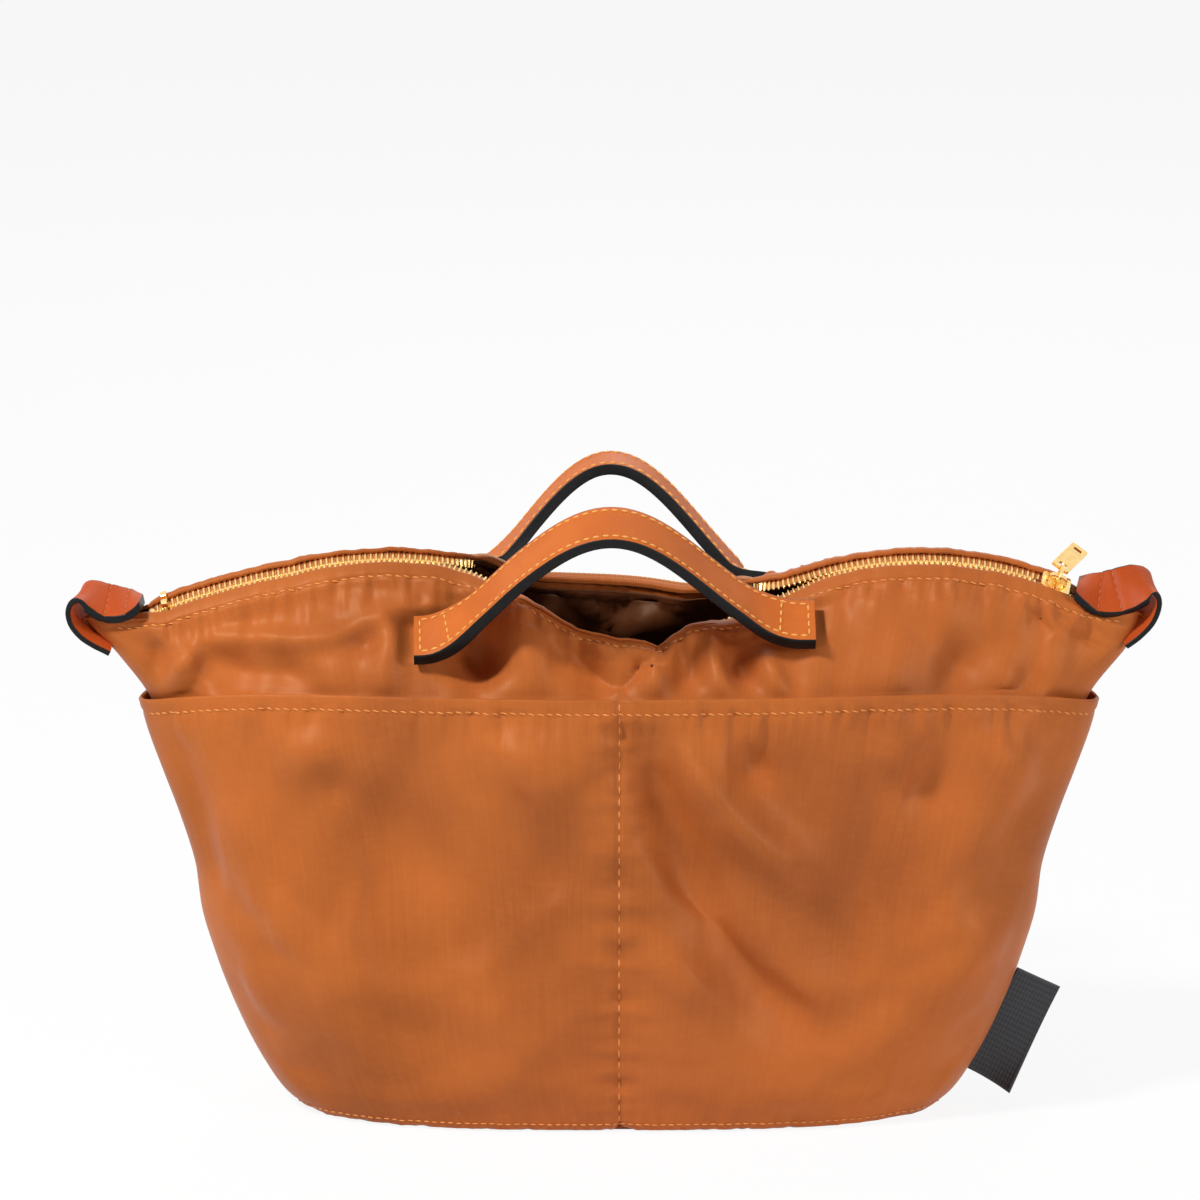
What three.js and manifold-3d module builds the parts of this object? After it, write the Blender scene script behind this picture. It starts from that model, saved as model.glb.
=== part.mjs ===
// Purse organizer insert: a soft nylon bag with a boxed base, an open zipped mouth,
// slip pockets outside and inside, two leather handles and a leather loop at each end.
// Millimetres, +Z up, +X along the bag, the front face towards -Y.
// The origin is the middle of the underside of the base.
import * as THREE from 'three';
import { mergeVertices } from 'three/addons/utils/BufferGeometryUtils.js';
import Module from 'manifold-3d';

const wasm = await Module();
wasm.setup();

// Fits shared by every piece
const clearance = 0.3;

// Base and body
const baseLength = 236;
const baseDepth = 100;
const baseCornerPower = 3.0;
const hemLength = 350;
const hemDepth = 88;
const hemCornerPower = 2.0;
const hemHeight = 161;
const hemSeamDrop = 11;
const bellyBulge = 6;

// Mouth and end wings
const tipSpan = 374;
const tipRise = 19;
const wingBulge = 6;
const valleyRise = 28;
const leftCrestRise = 15;
const rightCrestRise = 12.6;
const rightArcRadius = 128;
const arcEndInset = 19;
const arcFallLength = 58;
const arcRiseLength = 42;
const mouthCentreX = -2;
const mouthHalfOpening = 66;
const frontOpening = 20;
const backOpening = 30;
const frontDip = 10;
const frontDipHalfWidth = 40;
const wallRise = 14;
const wallLeanShare = 0.35;
const edgeRoll = 9;
const endRollShare = 0.25;
const endSettleLength = 10;

const tipX = tipSpan / 2;
const arcEndX = tipX - arcEndInset;
const rightArcX = arcEndX - arcFallLength;
const arcStartX = rightArcX - arcRiseLength;
const tipHeight = hemHeight + tipRise;
const valleyHeight = hemHeight + valleyRise;
const leftCrestHeight = valleyHeight + leftCrestRise;
const rightCrestHeight = valleyHeight + rightCrestRise;

// Cloth layers
const wallThickness = 1.6;
const liningThickness = 0.8;
const pocketThickness = 1.4;
const pocketStand = 9;
const innerPocketThickness = 1.0;
const innerPocketStand = 7.5;
const innerPocketWidth = 190;
const liningSlack = 1.0;
const innerPocketSlack = 1.0;

// Base stack
const basePanelThickness = 1.5;
const baseBoardThickness = 2.2;
const baseLiningThickness = 0.8;

// Zipper chain: two rows of teeth on corded tapes that twist apart as the mouth opens
const chainTilt = 28;
const frontMiddleTilt = -40;
const backMiddleTilt = 100;
const twistShare = 1.25;
const toothPitch = 2.0;
const toothWidth = 1.1;
const toothTip = 0.9;
const toothRoot = 2.9;
const beadEdge = 3.4;
const toothThickness = 2.0;
const toothNoseShare = 0.32;
const tapeThickness = 0.7;
const foldEdge = 4.6;
const teethEndInset = 4;
const teethEndX = arcEndX - teethEndInset;
const teethStartX = -teethEndX;
const topStopLength = 2.2;
const bottomStopLength = 2.6;

// Slider and pull
const sliderEndGap = 6;
const sliderX = teethEndX - sliderEndGap;
const sliderLength = 11;
const sliderHalfWidth = 4.2;
const sliderTailHalfWidth = 3.7;
const sliderPlate = 0.9;
const sliderPlateGap = 1.45;
const sliderFlangeGap = 0.8;
const sliderNoseWidth = 1.2;
const sliderNoseLength = 4.5;
const crownLength = 7.6;
const crownWidth = 1.6;
const crownBar = 0.9;
const crownOpening = 2.7;
const linkWire = 0.65;
const linkHalfWidth = 2.1;
const linkHalfLength = 3.7;
const tabLength = 16;
const tabWidth = 7;
const tabThickness = 1.2;
const tabLean = 23;
const tabEyeWidth = 3.2;
const tabEyeHeight = 2.4;
const tabEyeInset = 0.9;
const tabSlotWidth = 3.6;
const tabSlotHeight = 1.5;
const tabSlotInset = 1.6;
const tabCorner = 0.8;

// Handles: two layers of leather, arched between sewn ends
const strapWidth = 19;
const strapLayer = 1.9;
const handleHalfSpan = 60;
const handleSewnLength = 14;
const handleRise = 49;
const handleLean = 65;
const handleSeatDrop = 7;
const handleSeatHeight = valleyHeight - handleSeatDrop;
const handleFlexX = 38;
const handleFreedShare = 0.6;
const seatLift = 1.6;

// End loops
const loopWidth = 17;
const loopThickness = 3.6;
const loopSeatLift = 1.1;
const loopTilt = 22;
const loopStartInset = 15;
const loopMidInset = 7;
const loopCrestReach = 0.5;
const loopCrestRise = 10;
const loopShoulderReach = 6.5;
const loopShoulderRise = 9.6;
const loopOuterReach = 9.6;
const loopOuterRise = 4.5;
const loopReturnReach = 8;
const loopReturnDrop = 4;
const loopEndReach = 3;
const loopEndDrop = 10.5;

// Side label
const labelLength = 43;
const labelWidth = 17.5;
const labelThickness = 0.6;
const labelBottomHeight = 9;
const labelHeldShare = 0.92;

// Colours
const nylonColour = 0xb86a34;
const liningColour = 0x6b3a1c;
const leatherColour = 0xd67038;
const loopColour = 0xcd5c32;
const goldColour = 0xe6bc6c;
const tapeColour = 0xa05a2c;
const boardColour = 0x8a6f52;
const labelColour = 0x17181b;

// Rows and columns of the cloth grid, as shares of each span
const bodyRowShares = [0, 0.045, 0.14, 0.32, 0.62, 1];
const topRowShares = [0.28, 0.56, 0.8, 1];
const middleColumnShares = [0, 0.045, 0.09, 0.135, 0.19];
const humpColumnShares = [0.26, 0.33, 0.4, 0.47, 0.54, 0.61, 0.68, 0.75, 0.82, 0.877];
const endColumnShares = [0.92, 0.96, 0.985, 1];
const halfColumnShares = [...middleColumnShares, ...humpColumnShares, ...endColumnShares];
const panelHalfColumnShares = [0, 0.135, 0.26, 0.4, 0.54, 0.61, 0.68, 0.75, 0.82, 0.877, ...endColumnShares];
const liningOuterColumnShares = [0.26, 0.33, 0.4, 0.54, 0.68, 0.82, 0.877, 0.92, 0.96, 1];
const liningHalfColumnShares = [...middleColumnShares, ...liningOuterColumnShares];
const plateHalfColumnShares = [0, 0.26, 0.47, 0.61, 0.75, 0.877, 0.96, 1];
const innerPocketHalfColumnShares = [0, 0.45, 0.8, 0.94, 1];
const innerPocketRowShares = [0.32, 0.38, 0.5, 0.66, 0.84];

// Where an outer pocket stands off the wall: past its divider, short of its sides and above its foot
const dividerShares = [0.02, 0.14];
const pocketSideShares = [0.84, 0.97];
const pocketFootShares = [0.06, 0.3];
const innerPocketSideShares = [0.8, 1];

// Places where a seat is tested against what lies under it
const seatLengthShares = [0, 0.5, 1];
const seatWidthShares = [-0.5, -0.25, 0, 0.25, 0.5];
const labelTestShares = [0.25, 0.5, 0.75];
const seatRowShare = 0.02;

// Steps of the curved pieces and of the searches on the cloth
const searchSteps = 24;
const handleSteps = 20;
const handleEndSteps = 8;
const loopSteps = 22;
const linkSides = 6;
const linkTurns = 6;

// Half width of the body at shares of the hem height: 0 is the base and 1 the hem
const widthStationShares = [
  [0, 0], [0.044, 0.125], [0.107, 0.236], [0.17, 0.325], [0.233, 0.4], [0.296, 0.468], [0.36, 0.528],
  [0.48, 0.622], [0.6, 0.665], [0.72, 0.76], [0.85, 0.885], [0.93, 0.955], [1, 1],
];

// Ridge of the mouth left of the arc: place along the half span, and height between valley and crest
const ridgeStationShares = [
  [-1, -0.6], [-0.91, -0.2], [-0.81, 0.14], [-0.69, 0.57], [-0.56, 0.94], [-0.46, 1], [-0.365, 0.98],
  [-0.27, 0.74], [-0.16, 0.36], [-0.05, 0.09], [0.07, 0], [0.2, -0.02], [0.29, 0.12],
];

// Shaping helpers
function lerp(from, to, share) {
  return from + (to - from) * share;
}

function smooth(share) {
  const held = Math.min(1, Math.max(0, share));
  return held * held * (3 - 2 * held);
}

function ramp(value, low, high) {
  return smooth((value - low) / (high - low));
}

function mirrored(halfShares) {
  const left = halfShares.slice(1).reverse().map((share) => -share);
  return [...left, ...halfShares];
}

// Smooth curve through stations of place and value, with the slopes of its neighbours
function throughStations(stations, place) {
  const last = stations.length - 1;
  const held = Math.min(stations[last][0], Math.max(stations[0][0], place));
  let index = 0;
  while (index < last - 1 && stations[index + 1][0] < held) {
    index += 1;
  }
  const slopeAt = (at) => {
    const before = stations[Math.max(0, at - 1)];
    const after = stations[Math.min(last, at + 1)];
    return (after[1] - before[1]) / (after[0] - before[0]);
  };
  const [x0, y0] = stations[index];
  const [x1, y1] = stations[index + 1];
  const width = x1 - x0;
  const share = (held - x0) / width;
  const square = share * share;
  const cube = square * share;
  const startPart = (2 * cube - 3 * square + 1) * y0 + (cube - 2 * square + share) * width * slopeAt(index);
  const endPart = (3 * square - 2 * cube) * y1 + (cube - square) * width * slopeAt(index + 1);
  return startPart + endPart;
}

function radians(degrees) {
  return THREE.MathUtils.degToRad(degrees);
}

// Body form: stacked sections whose corners soften and whose ends widen upwards
const bodyHalfWidthStations = widthStationShares.map(([height, share]) => [
  height,
  lerp(baseLength / 2, hemLength / 2, share),
]);

function sectionAt(share) {
  const halfWidth = throughStations(bodyHalfWidthStations, share);
  const halfDepth = lerp(baseDepth / 2, hemDepth / 2, share) + bellyBulge * Math.sin(Math.PI * share);
  const power = lerp(baseCornerPower, hemCornerPower, share);
  return { halfWidth, halfDepth, power };
}

function depthShare(column, power) {
  return Math.pow(Math.max(0, 1 - Math.pow(Math.abs(column), power)), 1 / power);
}

function bodyPoint(side, column, share, inset) {
  const { halfWidth, halfDepth, power } = sectionAt(share);
  const height = share * (hemHeight - hemSeamDrop * Math.pow(Math.abs(column), 6));
  const depth = (halfDepth - inset) * depthShare(column, power);
  return new THREE.Vector3((halfWidth - inset) * column, side * depth, height);
}

// Mouth form: a ridge with a hump at each end, the right one an exact arc
const arcCentreHeight = rightCrestHeight - rightArcRadius;
const ridgeStations = ridgeStationShares.map(([along, rise]) => [
  along * tipX,
  lerp(valleyHeight, leftCrestHeight, rise),
]);
const arcHeightAt = (x) => arcCentreHeight + Math.sqrt(rightArcRadius ** 2 - (x - rightArcX) ** 2);
ridgeStations.push([arcStartX, arcHeightAt(arcStartX)]);
ridgeStations.push([arcStartX + toothPitch, arcHeightAt(arcStartX + toothPitch)]);

function ridgeHeight(x) {
  if (x <= arcStartX) {
    return throughStations(ridgeStations, x);
  }
  if (x <= arcEndX) {
    return arcHeightAt(x);
  }
  return lerp(arcHeightAt(arcEndX), tipHeight, (x - arcEndX) / (tipX - arcEndX));
}

function openShare(x) {
  const away = Math.min(1, Math.abs(x - mouthCentreX) / mouthHalfOpening);
  return Math.cos((away * Math.PI) / 2) ** 2;
}

function dipShare(x) {
  const away = Math.min(1, Math.abs(x) / frontDipHalfWidth);
  return Math.cos((away * Math.PI) / 2) ** 2;
}

// Line that the row of teeth on one side follows; the two meet along the humps
function chainPoint(side, x) {
  const opening = side < 0 ? frontOpening : backOpening;
  const dip = side < 0 ? frontDip * dipShare(x) : 0;
  return new THREE.Vector3(x, side * opening * openShare(x), ridgeHeight(x) - dip);
}

// Frame of the chain: along it, level across it, up from it, and the way that its teeth point
function chainFrame(side, x) {
  const step = toothPitch / 2;
  const along = chainPoint(side, x + step).sub(chainPoint(side, x - step)).normalize();
  const up = new THREE.Vector3(0, 0, 1);
  up.addScaledVector(along, -up.dot(along)).normalize();
  const across = new THREE.Vector3().crossVectors(up, along).normalize();
  const middleTilt = side < 0 ? frontMiddleTilt : backMiddleTilt;
  const endTilt = side < 0 ? chainTilt : 180 + chainTilt;
  const settled = ramp(Math.abs(x), teethEndX, teethEndX + endSettleLength);
  const levelTilt = side < 0 ? 0 : 180;
  const outerTilt = lerp(endTilt, levelTilt, settled);
  const tilt = radians(lerp(outerTilt, middleTilt, smooth(openShare(x) * twistShare)));
  const inward = across.clone().multiplyScalar(Math.cos(tilt)).addScaledVector(up, Math.sin(tilt));
  const turn = tilt - (side * Math.PI) / 2;
  const normal = across.clone().multiplyScalar(Math.cos(turn)).addScaledVector(up, Math.sin(turn));
  return { centre: chainPoint(side, x), along, up, across, inward, normal };
}

function chainPlace(frame, outward, lift) {
  return frame.centre.clone().addScaledVector(frame.inward, -outward).addScaledVector(frame.normal, lift);
}

// Cloth surface from the base (row 0) to the hem (row 1) and up to the folded mouth edge (row 2)
const foldLift = tapeThickness / 2 + clearance + wallThickness;

function smoothStandAt(column, share) {
  const sides = 1 - ramp(Math.abs(column), ...pocketSideShares);
  return pocketStand * sides * ramp(share, ...pocketFootShares);
}

function pocketStandAt(column, share) {
  return smoothStandAt(column, share) * ramp(Math.abs(column), ...dividerShares);
}

function wingFade(column) {
  const away = Math.max(0, (Math.abs(column) - arcEndX / tipX) / (1 - arcEndX / tipX));
  return Math.sqrt(Math.max(0, 1 - away * away));
}

function topPoint(side, column, rise, inset, standAt) {
  const fade = wingFade(column);
  const hem = bodyPoint(side, column, 1, 0);
  const frame = chainFrame(side, column * tipX);
  const upward = new THREE.Vector3(0, 0, 1);
  const inward = frame.inward.clone().multiplyScalar(fade).addScaledVector(upward, 1 - fade).normalize();
  const edge = frame.centre.clone();
  edge.addScaledVector(frame.inward, -foldEdge * fade);
  edge.addScaledVector(frame.normal, foldLift * fade);
  const lean = -side * wallRise * wallLeanShare * depthShare(column, hemCornerPower);
  const first = hem.clone().add(new THREE.Vector3(0, lean, wallRise));
  const settled = ramp(Math.abs(frame.centre.x), teethEndX, teethEndX + endSettleLength);
  const second = edge.clone().addScaledVector(inward, -edgeRoll * lerp(1, endRollShare, settled));
  const curve = new THREE.CubicBezierCurve3(hem, first, second, edge);
  const point = curve.getPoint(rise);
  point.x = lerp(hem.x, edge.x, smooth(rise)) + column ** 11 * wingBulge * Math.sin(Math.PI * rise);
  const lowShift = new THREE.Vector3(-column, -side * depthShare(column, hemCornerPower), 0);
  const highShift = frame.normal.clone().multiplyScalar(-fade);
  highShift.x -= Math.sign(column) * (1 - fade);
  const size = lerp(lowShift.length(), highShift.length(), rise);
  const shift = lowShift.lerp(highShift, rise).setLength(size);
  const left = lerp(1, 0, smooth(rise));
  const covered = (pocketThickness + clearance + standAt(column, 1)) * left;
  return point.addScaledVector(shift, covered + inset);
}

function layerPoint(side, column, row, inset, standAt) {
  let point;
  if (row <= 1) {
    const behindPocket = pocketThickness + clearance + standAt(column, row);
    point = bodyPoint(side, column, row, behindPocket + inset);
  } else {
    point = topPoint(side, column, row - 1, inset, standAt);
  }
  point.y = side * (clearance / 2 + Math.max(0, side * point.y));
  return point;
}

function clothPoint(side, column, row, inset) {
  return layerPoint(side, column, row, inset, pocketStandAt);
}

// The lining hangs straight past the divider of the outer pocket, a little slack below its top edge
function liningPoint(side, column, row, inset) {
  const slack = liningSlack * (1 - ramp(row, 1 + topRowShares[1], 1 + topRowShares[2]));
  return layerPoint(side, column, row, inset + slack, smoothStandAt);
}

function pocketPoint(side, column, row, inset) {
  const point = bodyPoint(side, column, row, inset);
  point.y = side * (clearance / 2 + Math.max(0, side * point.y));
  return point;
}

// Closed body between two grids of points that share their rows and columns
function closedShell(outer, inner) {
  const rows = outer.length;
  const columns = outer[0].length;
  const positions = [];
  const index = [];
  for (const grid of [outer, inner]) {
    for (const line of grid) {
      for (const point of line) {
        positions.push(point.x, point.y, point.z);
      }
    }
  }
  const outerAt = (row, column) => row * columns + column;
  const innerAt = (row, column) => rows * columns + outerAt(row, column);
  const quad = (a, b, c, d) => index.push(a, b, c, a, c, d);
  for (let row = 0; row < rows - 1; row += 1) {
    for (let column = 0; column < columns - 1; column += 1) {
      const next = column + 1;
      quad(outerAt(row, column), outerAt(row, next), outerAt(row + 1, next), outerAt(row + 1, column));
      quad(innerAt(row, column), innerAt(row + 1, column), innerAt(row + 1, next), innerAt(row, next));
    }
    quad(outerAt(row, 0), outerAt(row + 1, 0), innerAt(row + 1, 0), innerAt(row, 0));
    const end = columns - 1;
    quad(outerAt(row, end), innerAt(row, end), innerAt(row + 1, end), outerAt(row + 1, end));
  }
  for (let column = 0; column < columns - 1; column += 1) {
    const next = column + 1;
    const top = rows - 1;
    quad(outerAt(0, column), innerAt(0, column), innerAt(0, next), outerAt(0, next));
    quad(outerAt(top, column), outerAt(top, next), innerAt(top, next), innerAt(top, column));
  }
  return solidFrom(positions, index);
}

function signedVolume(positions, index) {
  const a = new THREE.Vector3();
  const b = new THREE.Vector3();
  const c = new THREE.Vector3();
  let total = 0;
  for (let at = 0; at < index.length; at += 3) {
    a.fromArray(positions, index[at] * 3);
    b.fromArray(positions, index[at + 1] * 3);
    c.fromArray(positions, index[at + 2] * 3);
    total += a.dot(b.cross(c));
  }
  return total;
}

// Geometry with its faces turned outwards
function solidFrom(positions, index) {
  if (signedVolume(positions, index) < 0) {
    for (let at = 0; at < index.length; at += 3) {
      const swapped = index[at + 1];
      index[at + 1] = index[at + 2];
      index[at + 2] = swapped;
    }
  }
  const geometry = new THREE.BufferGeometry();
  geometry.setAttribute('position', new THREE.Float32BufferAttribute(positions, 3));
  geometry.setIndex(index);
  geometry.computeVertexNormals();
  return geometry;
}

function clothShell(side, columns, rows, pointAt, outerInset, thickness) {
  const gridAt = (extra) => rows.map((row) => columns.map((column) => {
    const inset = typeof outerInset === 'function' ? outerInset(column, row) : outerInset;
    return pointAt(side, column, row, inset + extra);
  }));
  return closedShell(gridAt(0), gridAt(thickness));
}

// Strip with a rectangular section along a list of frames
function ribbon(frames, width, thickness) {
  const corners = (share) => frames.map(({ point, wide, thick }) => [-1, 1].map((sign) => (
    point.clone().addScaledVector(wide, (sign * width) / 2).addScaledVector(thick, share * thickness)
  )));
  return closedShell(corners(0.5), corners(-0.5));
}

const wallRows = [...bodyRowShares, ...topRowShares.map((share) => 1 + share)];
const wallColumns = mirrored(halfColumnShares);

function wallPiece(side) {
  return clothShell(side, wallColumns, wallRows, clothPoint, 0, wallThickness);
}

const tapeInset = wallThickness + clearance;
const liningInset = tapeInset + tapeThickness + clearance;
const liningFloor = basePanelThickness + baseBoardThickness + baseLiningThickness + 3 * clearance;

function liningPiece(side) {
  const firstRow = liningFloor / hemHeight;
  const rows = [firstRow, ...wallRows.slice(2)];
  const columns = mirrored(liningHalfColumnShares);
  return clothShell(side, columns, rows, liningPoint, liningInset, liningThickness);
}

function pocketPiece(side) {
  const columns = mirrored(panelHalfColumnShares);
  return clothShell(side, columns, bodyRowShares, pocketPoint, 0, pocketThickness);
}

// Slip pocket on the lining, sewn at its sides and foot and standing open at the top
function innerPocketPiece(side) {
  const reach = innerPocketWidth / hemLength;
  const columns = mirrored(innerPocketHalfColumnShares).map((share) => share * reach);
  const rows = innerPocketRowShares;
  const inset = (column, row) => {
    const lobe = 1 - ramp(Math.abs(column) / reach, ...innerPocketSideShares);
    const stand = innerPocketStand * lobe * ramp(row, rows[0], rows[2]);
    return liningInset + liningThickness + innerPocketSlack + stand;
  };
  return clothShell(side, columns, rows, liningPoint, inset, innerPocketThickness);
}

// Flat plates of the base, stacked from the floor up
function sectionOutline(share, inset) {
  const across = mirrored(plateHalfColumnShares);
  const front = across.map((column) => bodyPoint(-1, column, share, inset));
  const back = across.slice(1, -1).reverse().map((column) => bodyPoint(1, column, share, inset));
  return [...front, ...back].map((point) => new THREE.Vector2(point.x, point.y));
}

function plate(inset, bottom, thickness) {
  const shape = new THREE.Shape(sectionOutline(0, inset));
  const geometry = new THREE.ExtrudeGeometry(shape, { depth: thickness, bevelEnabled: false });
  geometry.translate(0, 0, bottom);
  return geometry;
}

const wallFootInset = pocketThickness + clearance + wallThickness + clearance;
const boardBottom = basePanelThickness + clearance;
const baseLiningBottom = boardBottom + baseBoardThickness + clearance;

// Stations along a side of the chain, a set distance apart along its true length
function stationsAlong(side, startX, endX, pitch) {
  const step = toothPitch / 8;
  const places = [startX];
  let travelled = 0;
  let before = chainPoint(side, startX);
  for (let x = startX + step; x <= endX; x += step) {
    const point = chainPoint(side, x);
    travelled += point.distanceTo(before);
    before = point;
    if (travelled >= pitch * places.length) {
      places.push(x);
    }
  }
  return places;
}

// A row of teeth on its corded edge: the cord is a ridge strip and each tooth stands out of it
function teethPiece(side) {
  const phase = side < 0 ? 0 : toothPitch / 2;
  const stations = stationsAlong(side, teethStartX + phase, teethEndX, toothPitch);
  const positions = [];
  const index = [];
  const addPoint = (frame, outward, lift) => {
    const point = chainPlace(frame, outward, lift);
    positions.push(point.x, point.y, point.z);
    return positions.length / 3 - 1;
  };
  const quad = (a, b, c, d) => index.push(a, b, c, a, c, d);
  const ringAt = (x) => {
    const frame = chainFrame(side, x);
    return {
      frame,
      top: addPoint(frame, toothRoot, toothThickness / 2),
      bottom: addPoint(frame, toothRoot, -toothThickness / 2),
    };
  };
  const face = (from, to) => quad(from.top, to.top, to.bottom, from.bottom);
  const tooth = (from, to) => {
    const tips = [from, to].map((ring) => ({
      top: addPoint(ring.frame, toothTip, toothThickness * toothNoseShare),
      bottom: addPoint(ring.frame, toothTip, -toothThickness * toothNoseShare),
    }));
    const [near, far] = tips;
    quad(from.top, to.top, far.top, near.top);
    quad(near.top, far.top, far.bottom, near.bottom);
    quad(near.bottom, far.bottom, to.bottom, from.bottom);
    quad(from.top, near.top, near.bottom, from.bottom);
    quad(to.top, to.bottom, far.bottom, far.top);
  };
  let before = null;
  for (const x of stations) {
    const from = ringAt(x);
    from.ridge = addPoint(from.frame, beadEdge, 0);
    const to = ringAt(x + toothWidth);
    tooth(from, to);
    if (before) {
      face(before.to, from);
      index.push(before.from.ridge, from.ridge, before.to.top);
      index.push(from.ridge, from.top, before.to.top);
      index.push(from.ridge, before.from.ridge, before.to.bottom);
      index.push(from.ridge, before.to.bottom, from.bottom);
    } else {
      index.push(from.ridge, from.top, from.bottom);
    }
    index.push(from.ridge, to.top, from.top);
    index.push(from.ridge, from.bottom, to.bottom);
    before = { from, to };
  }
  index.push(before.from.ridge, before.to.bottom, before.to.top);
  return solidFrom(positions, index);
}

// Woven tape: from the cord of the teeth to under the folded edge of the wall
function tapePiece(side) {
  const columns = mirrored([...middleColumnShares, ...humpColumnShares]);
  const rows = [1 + topRowShares[2], 2];
  const gridAt = (extra) => {
    const covered = rows.map((row) => columns.map((column) => (
      clothPoint(side, column, row, tapeInset + extra)
    )));
    const lift = tapeThickness / 2 - extra;
    const exposed = columns.map((column) => (
      chainPlace(chainFrame(side, column * tipX), beadEdge + 2 * clearance, lift)
    ));
    return [...covered, exposed];
  };
  return closedShell(gridAt(0), gridAt(tapeThickness));
}

// A block across the chain between two places along it, as a stop crimped on the tape
function chainBlock(side, startX, endX, nearEdge, farEdge, thickness) {
  const cornersAt = (lift) => [startX, endX].map((x) => (
    [nearEdge, farEdge].map((outward) => chainPlace(chainFrame(side, x), outward, lift))
  ));
  return closedShell(cornersAt(thickness / 2), cornersAt(-thickness / 2));
}

const stopThickness = toothThickness + tapeThickness / 2;

function topStopPiece(side) {
  const endX = teethStartX - clearance;
  return chainBlock(side, endX - topStopLength, endX, toothTip, beadEdge, stopThickness);
}

function bottomStopPiece() {
  const startX = teethEndX + toothPitch;
  return chainBlock(-1, startX, startX + bottomStopLength, -beadEdge, beadEdge, stopThickness);
}

// Boolean helpers
function toManifold(geometry) {
  const bare = geometry.clone();
  bare.deleteAttribute('normal');
  bare.deleteAttribute('uv');
  const merged = mergeVertices(bare);
  return new wasm.Manifold(new wasm.Mesh({
    numProp: 3,
    vertProperties: new Float32Array(merged.attributes.position.array),
    triVerts: new Uint32Array(merged.index.array),
  }));
}

function fromManifold(solid) {
  const mesh = solid.getMesh();
  return solidFrom(Array.from(mesh.vertProperties), Array.from(mesh.triVerts));
}

function extruded(shape, depth, steps) {
  return new THREE.ExtrudeGeometry(shape, { depth, bevelEnabled: false, curveSegments: steps });
}

function roundedRectangle(width, height, corner, target = new THREE.Shape()) {
  const x = width / 2;
  const y = height / 2;
  target.moveTo(-x + corner, -y);
  target.lineTo(x - corner, -y);
  target.absarc(x - corner, -y + corner, corner, -Math.PI / 2, 0, false);
  target.lineTo(x, y - corner);
  target.absarc(x - corner, y - corner, corner, 0, Math.PI / 2, false);
  target.lineTo(-x + corner, y);
  target.absarc(-x + corner, y - corner, corner, Math.PI / 2, Math.PI, false);
  target.lineTo(-x, -y + corner);
  target.absarc(-x + corner, -y + corner, corner, Math.PI, Math.PI * 1.5, false);
  return target;
}

// Frame of the slider: x along the chain to the right, y across it to the back, z out of it
function sliderMatrix() {
  const frame = chainFrame(-1, sliderX);
  return new THREE.Matrix4().makeBasis(frame.along, frame.inward, frame.normal).setPosition(frame.centre);
}

// Shield outline of a slider plate, wide where the rows enter and narrow at its tail
function sliderOutline(inset) {
  const nose = sliderLength / 2 - inset;
  const wide = sliderHalfWidth - inset;
  const tail = sliderTailHalfWidth - inset;
  const shape = new THREE.Shape();
  shape.moveTo(-nose, -wide / 2);
  shape.quadraticCurveTo(-nose, -wide, -nose / 2, -wide);
  shape.lineTo(nose, -tail);
  shape.lineTo(nose, tail);
  shape.lineTo(-nose / 2, wide);
  shape.quadraticCurveTo(-nose, wide, -nose, wide / 2);
  return shape;
}

function sliderPiece() {
  const plateAt = (bottom) => {
    const geometry = extruded(sliderOutline(0), sliderPlate, 4);
    geometry.translate(0, 0, bottom);
    return toManifold(geometry);
  };
  const topPlate = plateAt(sliderPlateGap);
  const bottomPlate = plateAt(-sliderPlateGap - sliderPlate);
  const innerWidth = beadEdge + clearance;
  const rim = (bottom, height) => {
    const outline = sliderOutline(0);
    const solid = extruded(outline, height, 4);
    solid.translate(0, 0, bottom);
    const channel = new THREE.BoxGeometry(sliderLength * 2, innerWidth * 2, height * 3);
    channel.translate(0, 0, bottom + height / 2);
    return toManifold(solid).subtract(toManifold(channel));
  };
  const overlap = sliderPlate / 3;
  const rimHeight = sliderPlateGap - sliderFlangeGap + overlap;
  const topRim = rim(sliderFlangeGap, rimHeight);
  const bottomRim = rim(-sliderFlangeGap - rimHeight, rimHeight);
  const nose = new THREE.Shape();
  nose.moveTo(-sliderLength / 2, 0);
  nose.lineTo(-sliderLength / 2 + sliderNoseWidth, -sliderNoseWidth / 2);
  nose.lineTo(-sliderLength / 2 + sliderNoseLength, 0);
  nose.lineTo(-sliderLength / 2 + sliderNoseWidth, sliderNoseWidth / 2);
  const post = extruded(nose, 2 * (sliderPlateGap + overlap), 1);
  post.translate(0, 0, -sliderPlateGap - overlap);
  const solid = topPlate.add(bottomPlate).add(toManifold(post)).add(topRim).add(bottomRim);
  return fromManifold(solid);
}

const crownFoot = sliderPlateGap + sliderPlate + clearance;
const crownBarCentre = crownFoot + crownOpening + crownBar / 2;

// Bridge over the slider: a strip bent into an arch
function crownPiece() {
  const half = crownLength / 2;
  const top = crownOpening + crownBar;
  const shape = new THREE.Shape();
  shape.moveTo(-half, 0);
  shape.quadraticCurveTo(-half, top, -half / 3, top);
  shape.lineTo(half / 3, top);
  shape.quadraticCurveTo(half, top, half, 0);
  shape.lineTo(half - crownBar, 0);
  shape.quadraticCurveTo(half - crownBar, crownOpening, half / 3, crownOpening);
  shape.lineTo(-half / 3, crownOpening);
  shape.quadraticCurveTo(-half + crownBar, crownOpening, -half + crownBar, 0);
  const geometry = extruded(shape, crownWidth, 5);
  geometry.translate(0, 0, -crownWidth / 2);
  geometry.rotateX(Math.PI / 2);
  geometry.translate(0, 0, crownFoot);
  return geometry;
}

const linkReach = crownWidth / 2 + clearance + linkWire;
const linkCentre = linkHalfLength - linkReach;

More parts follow.
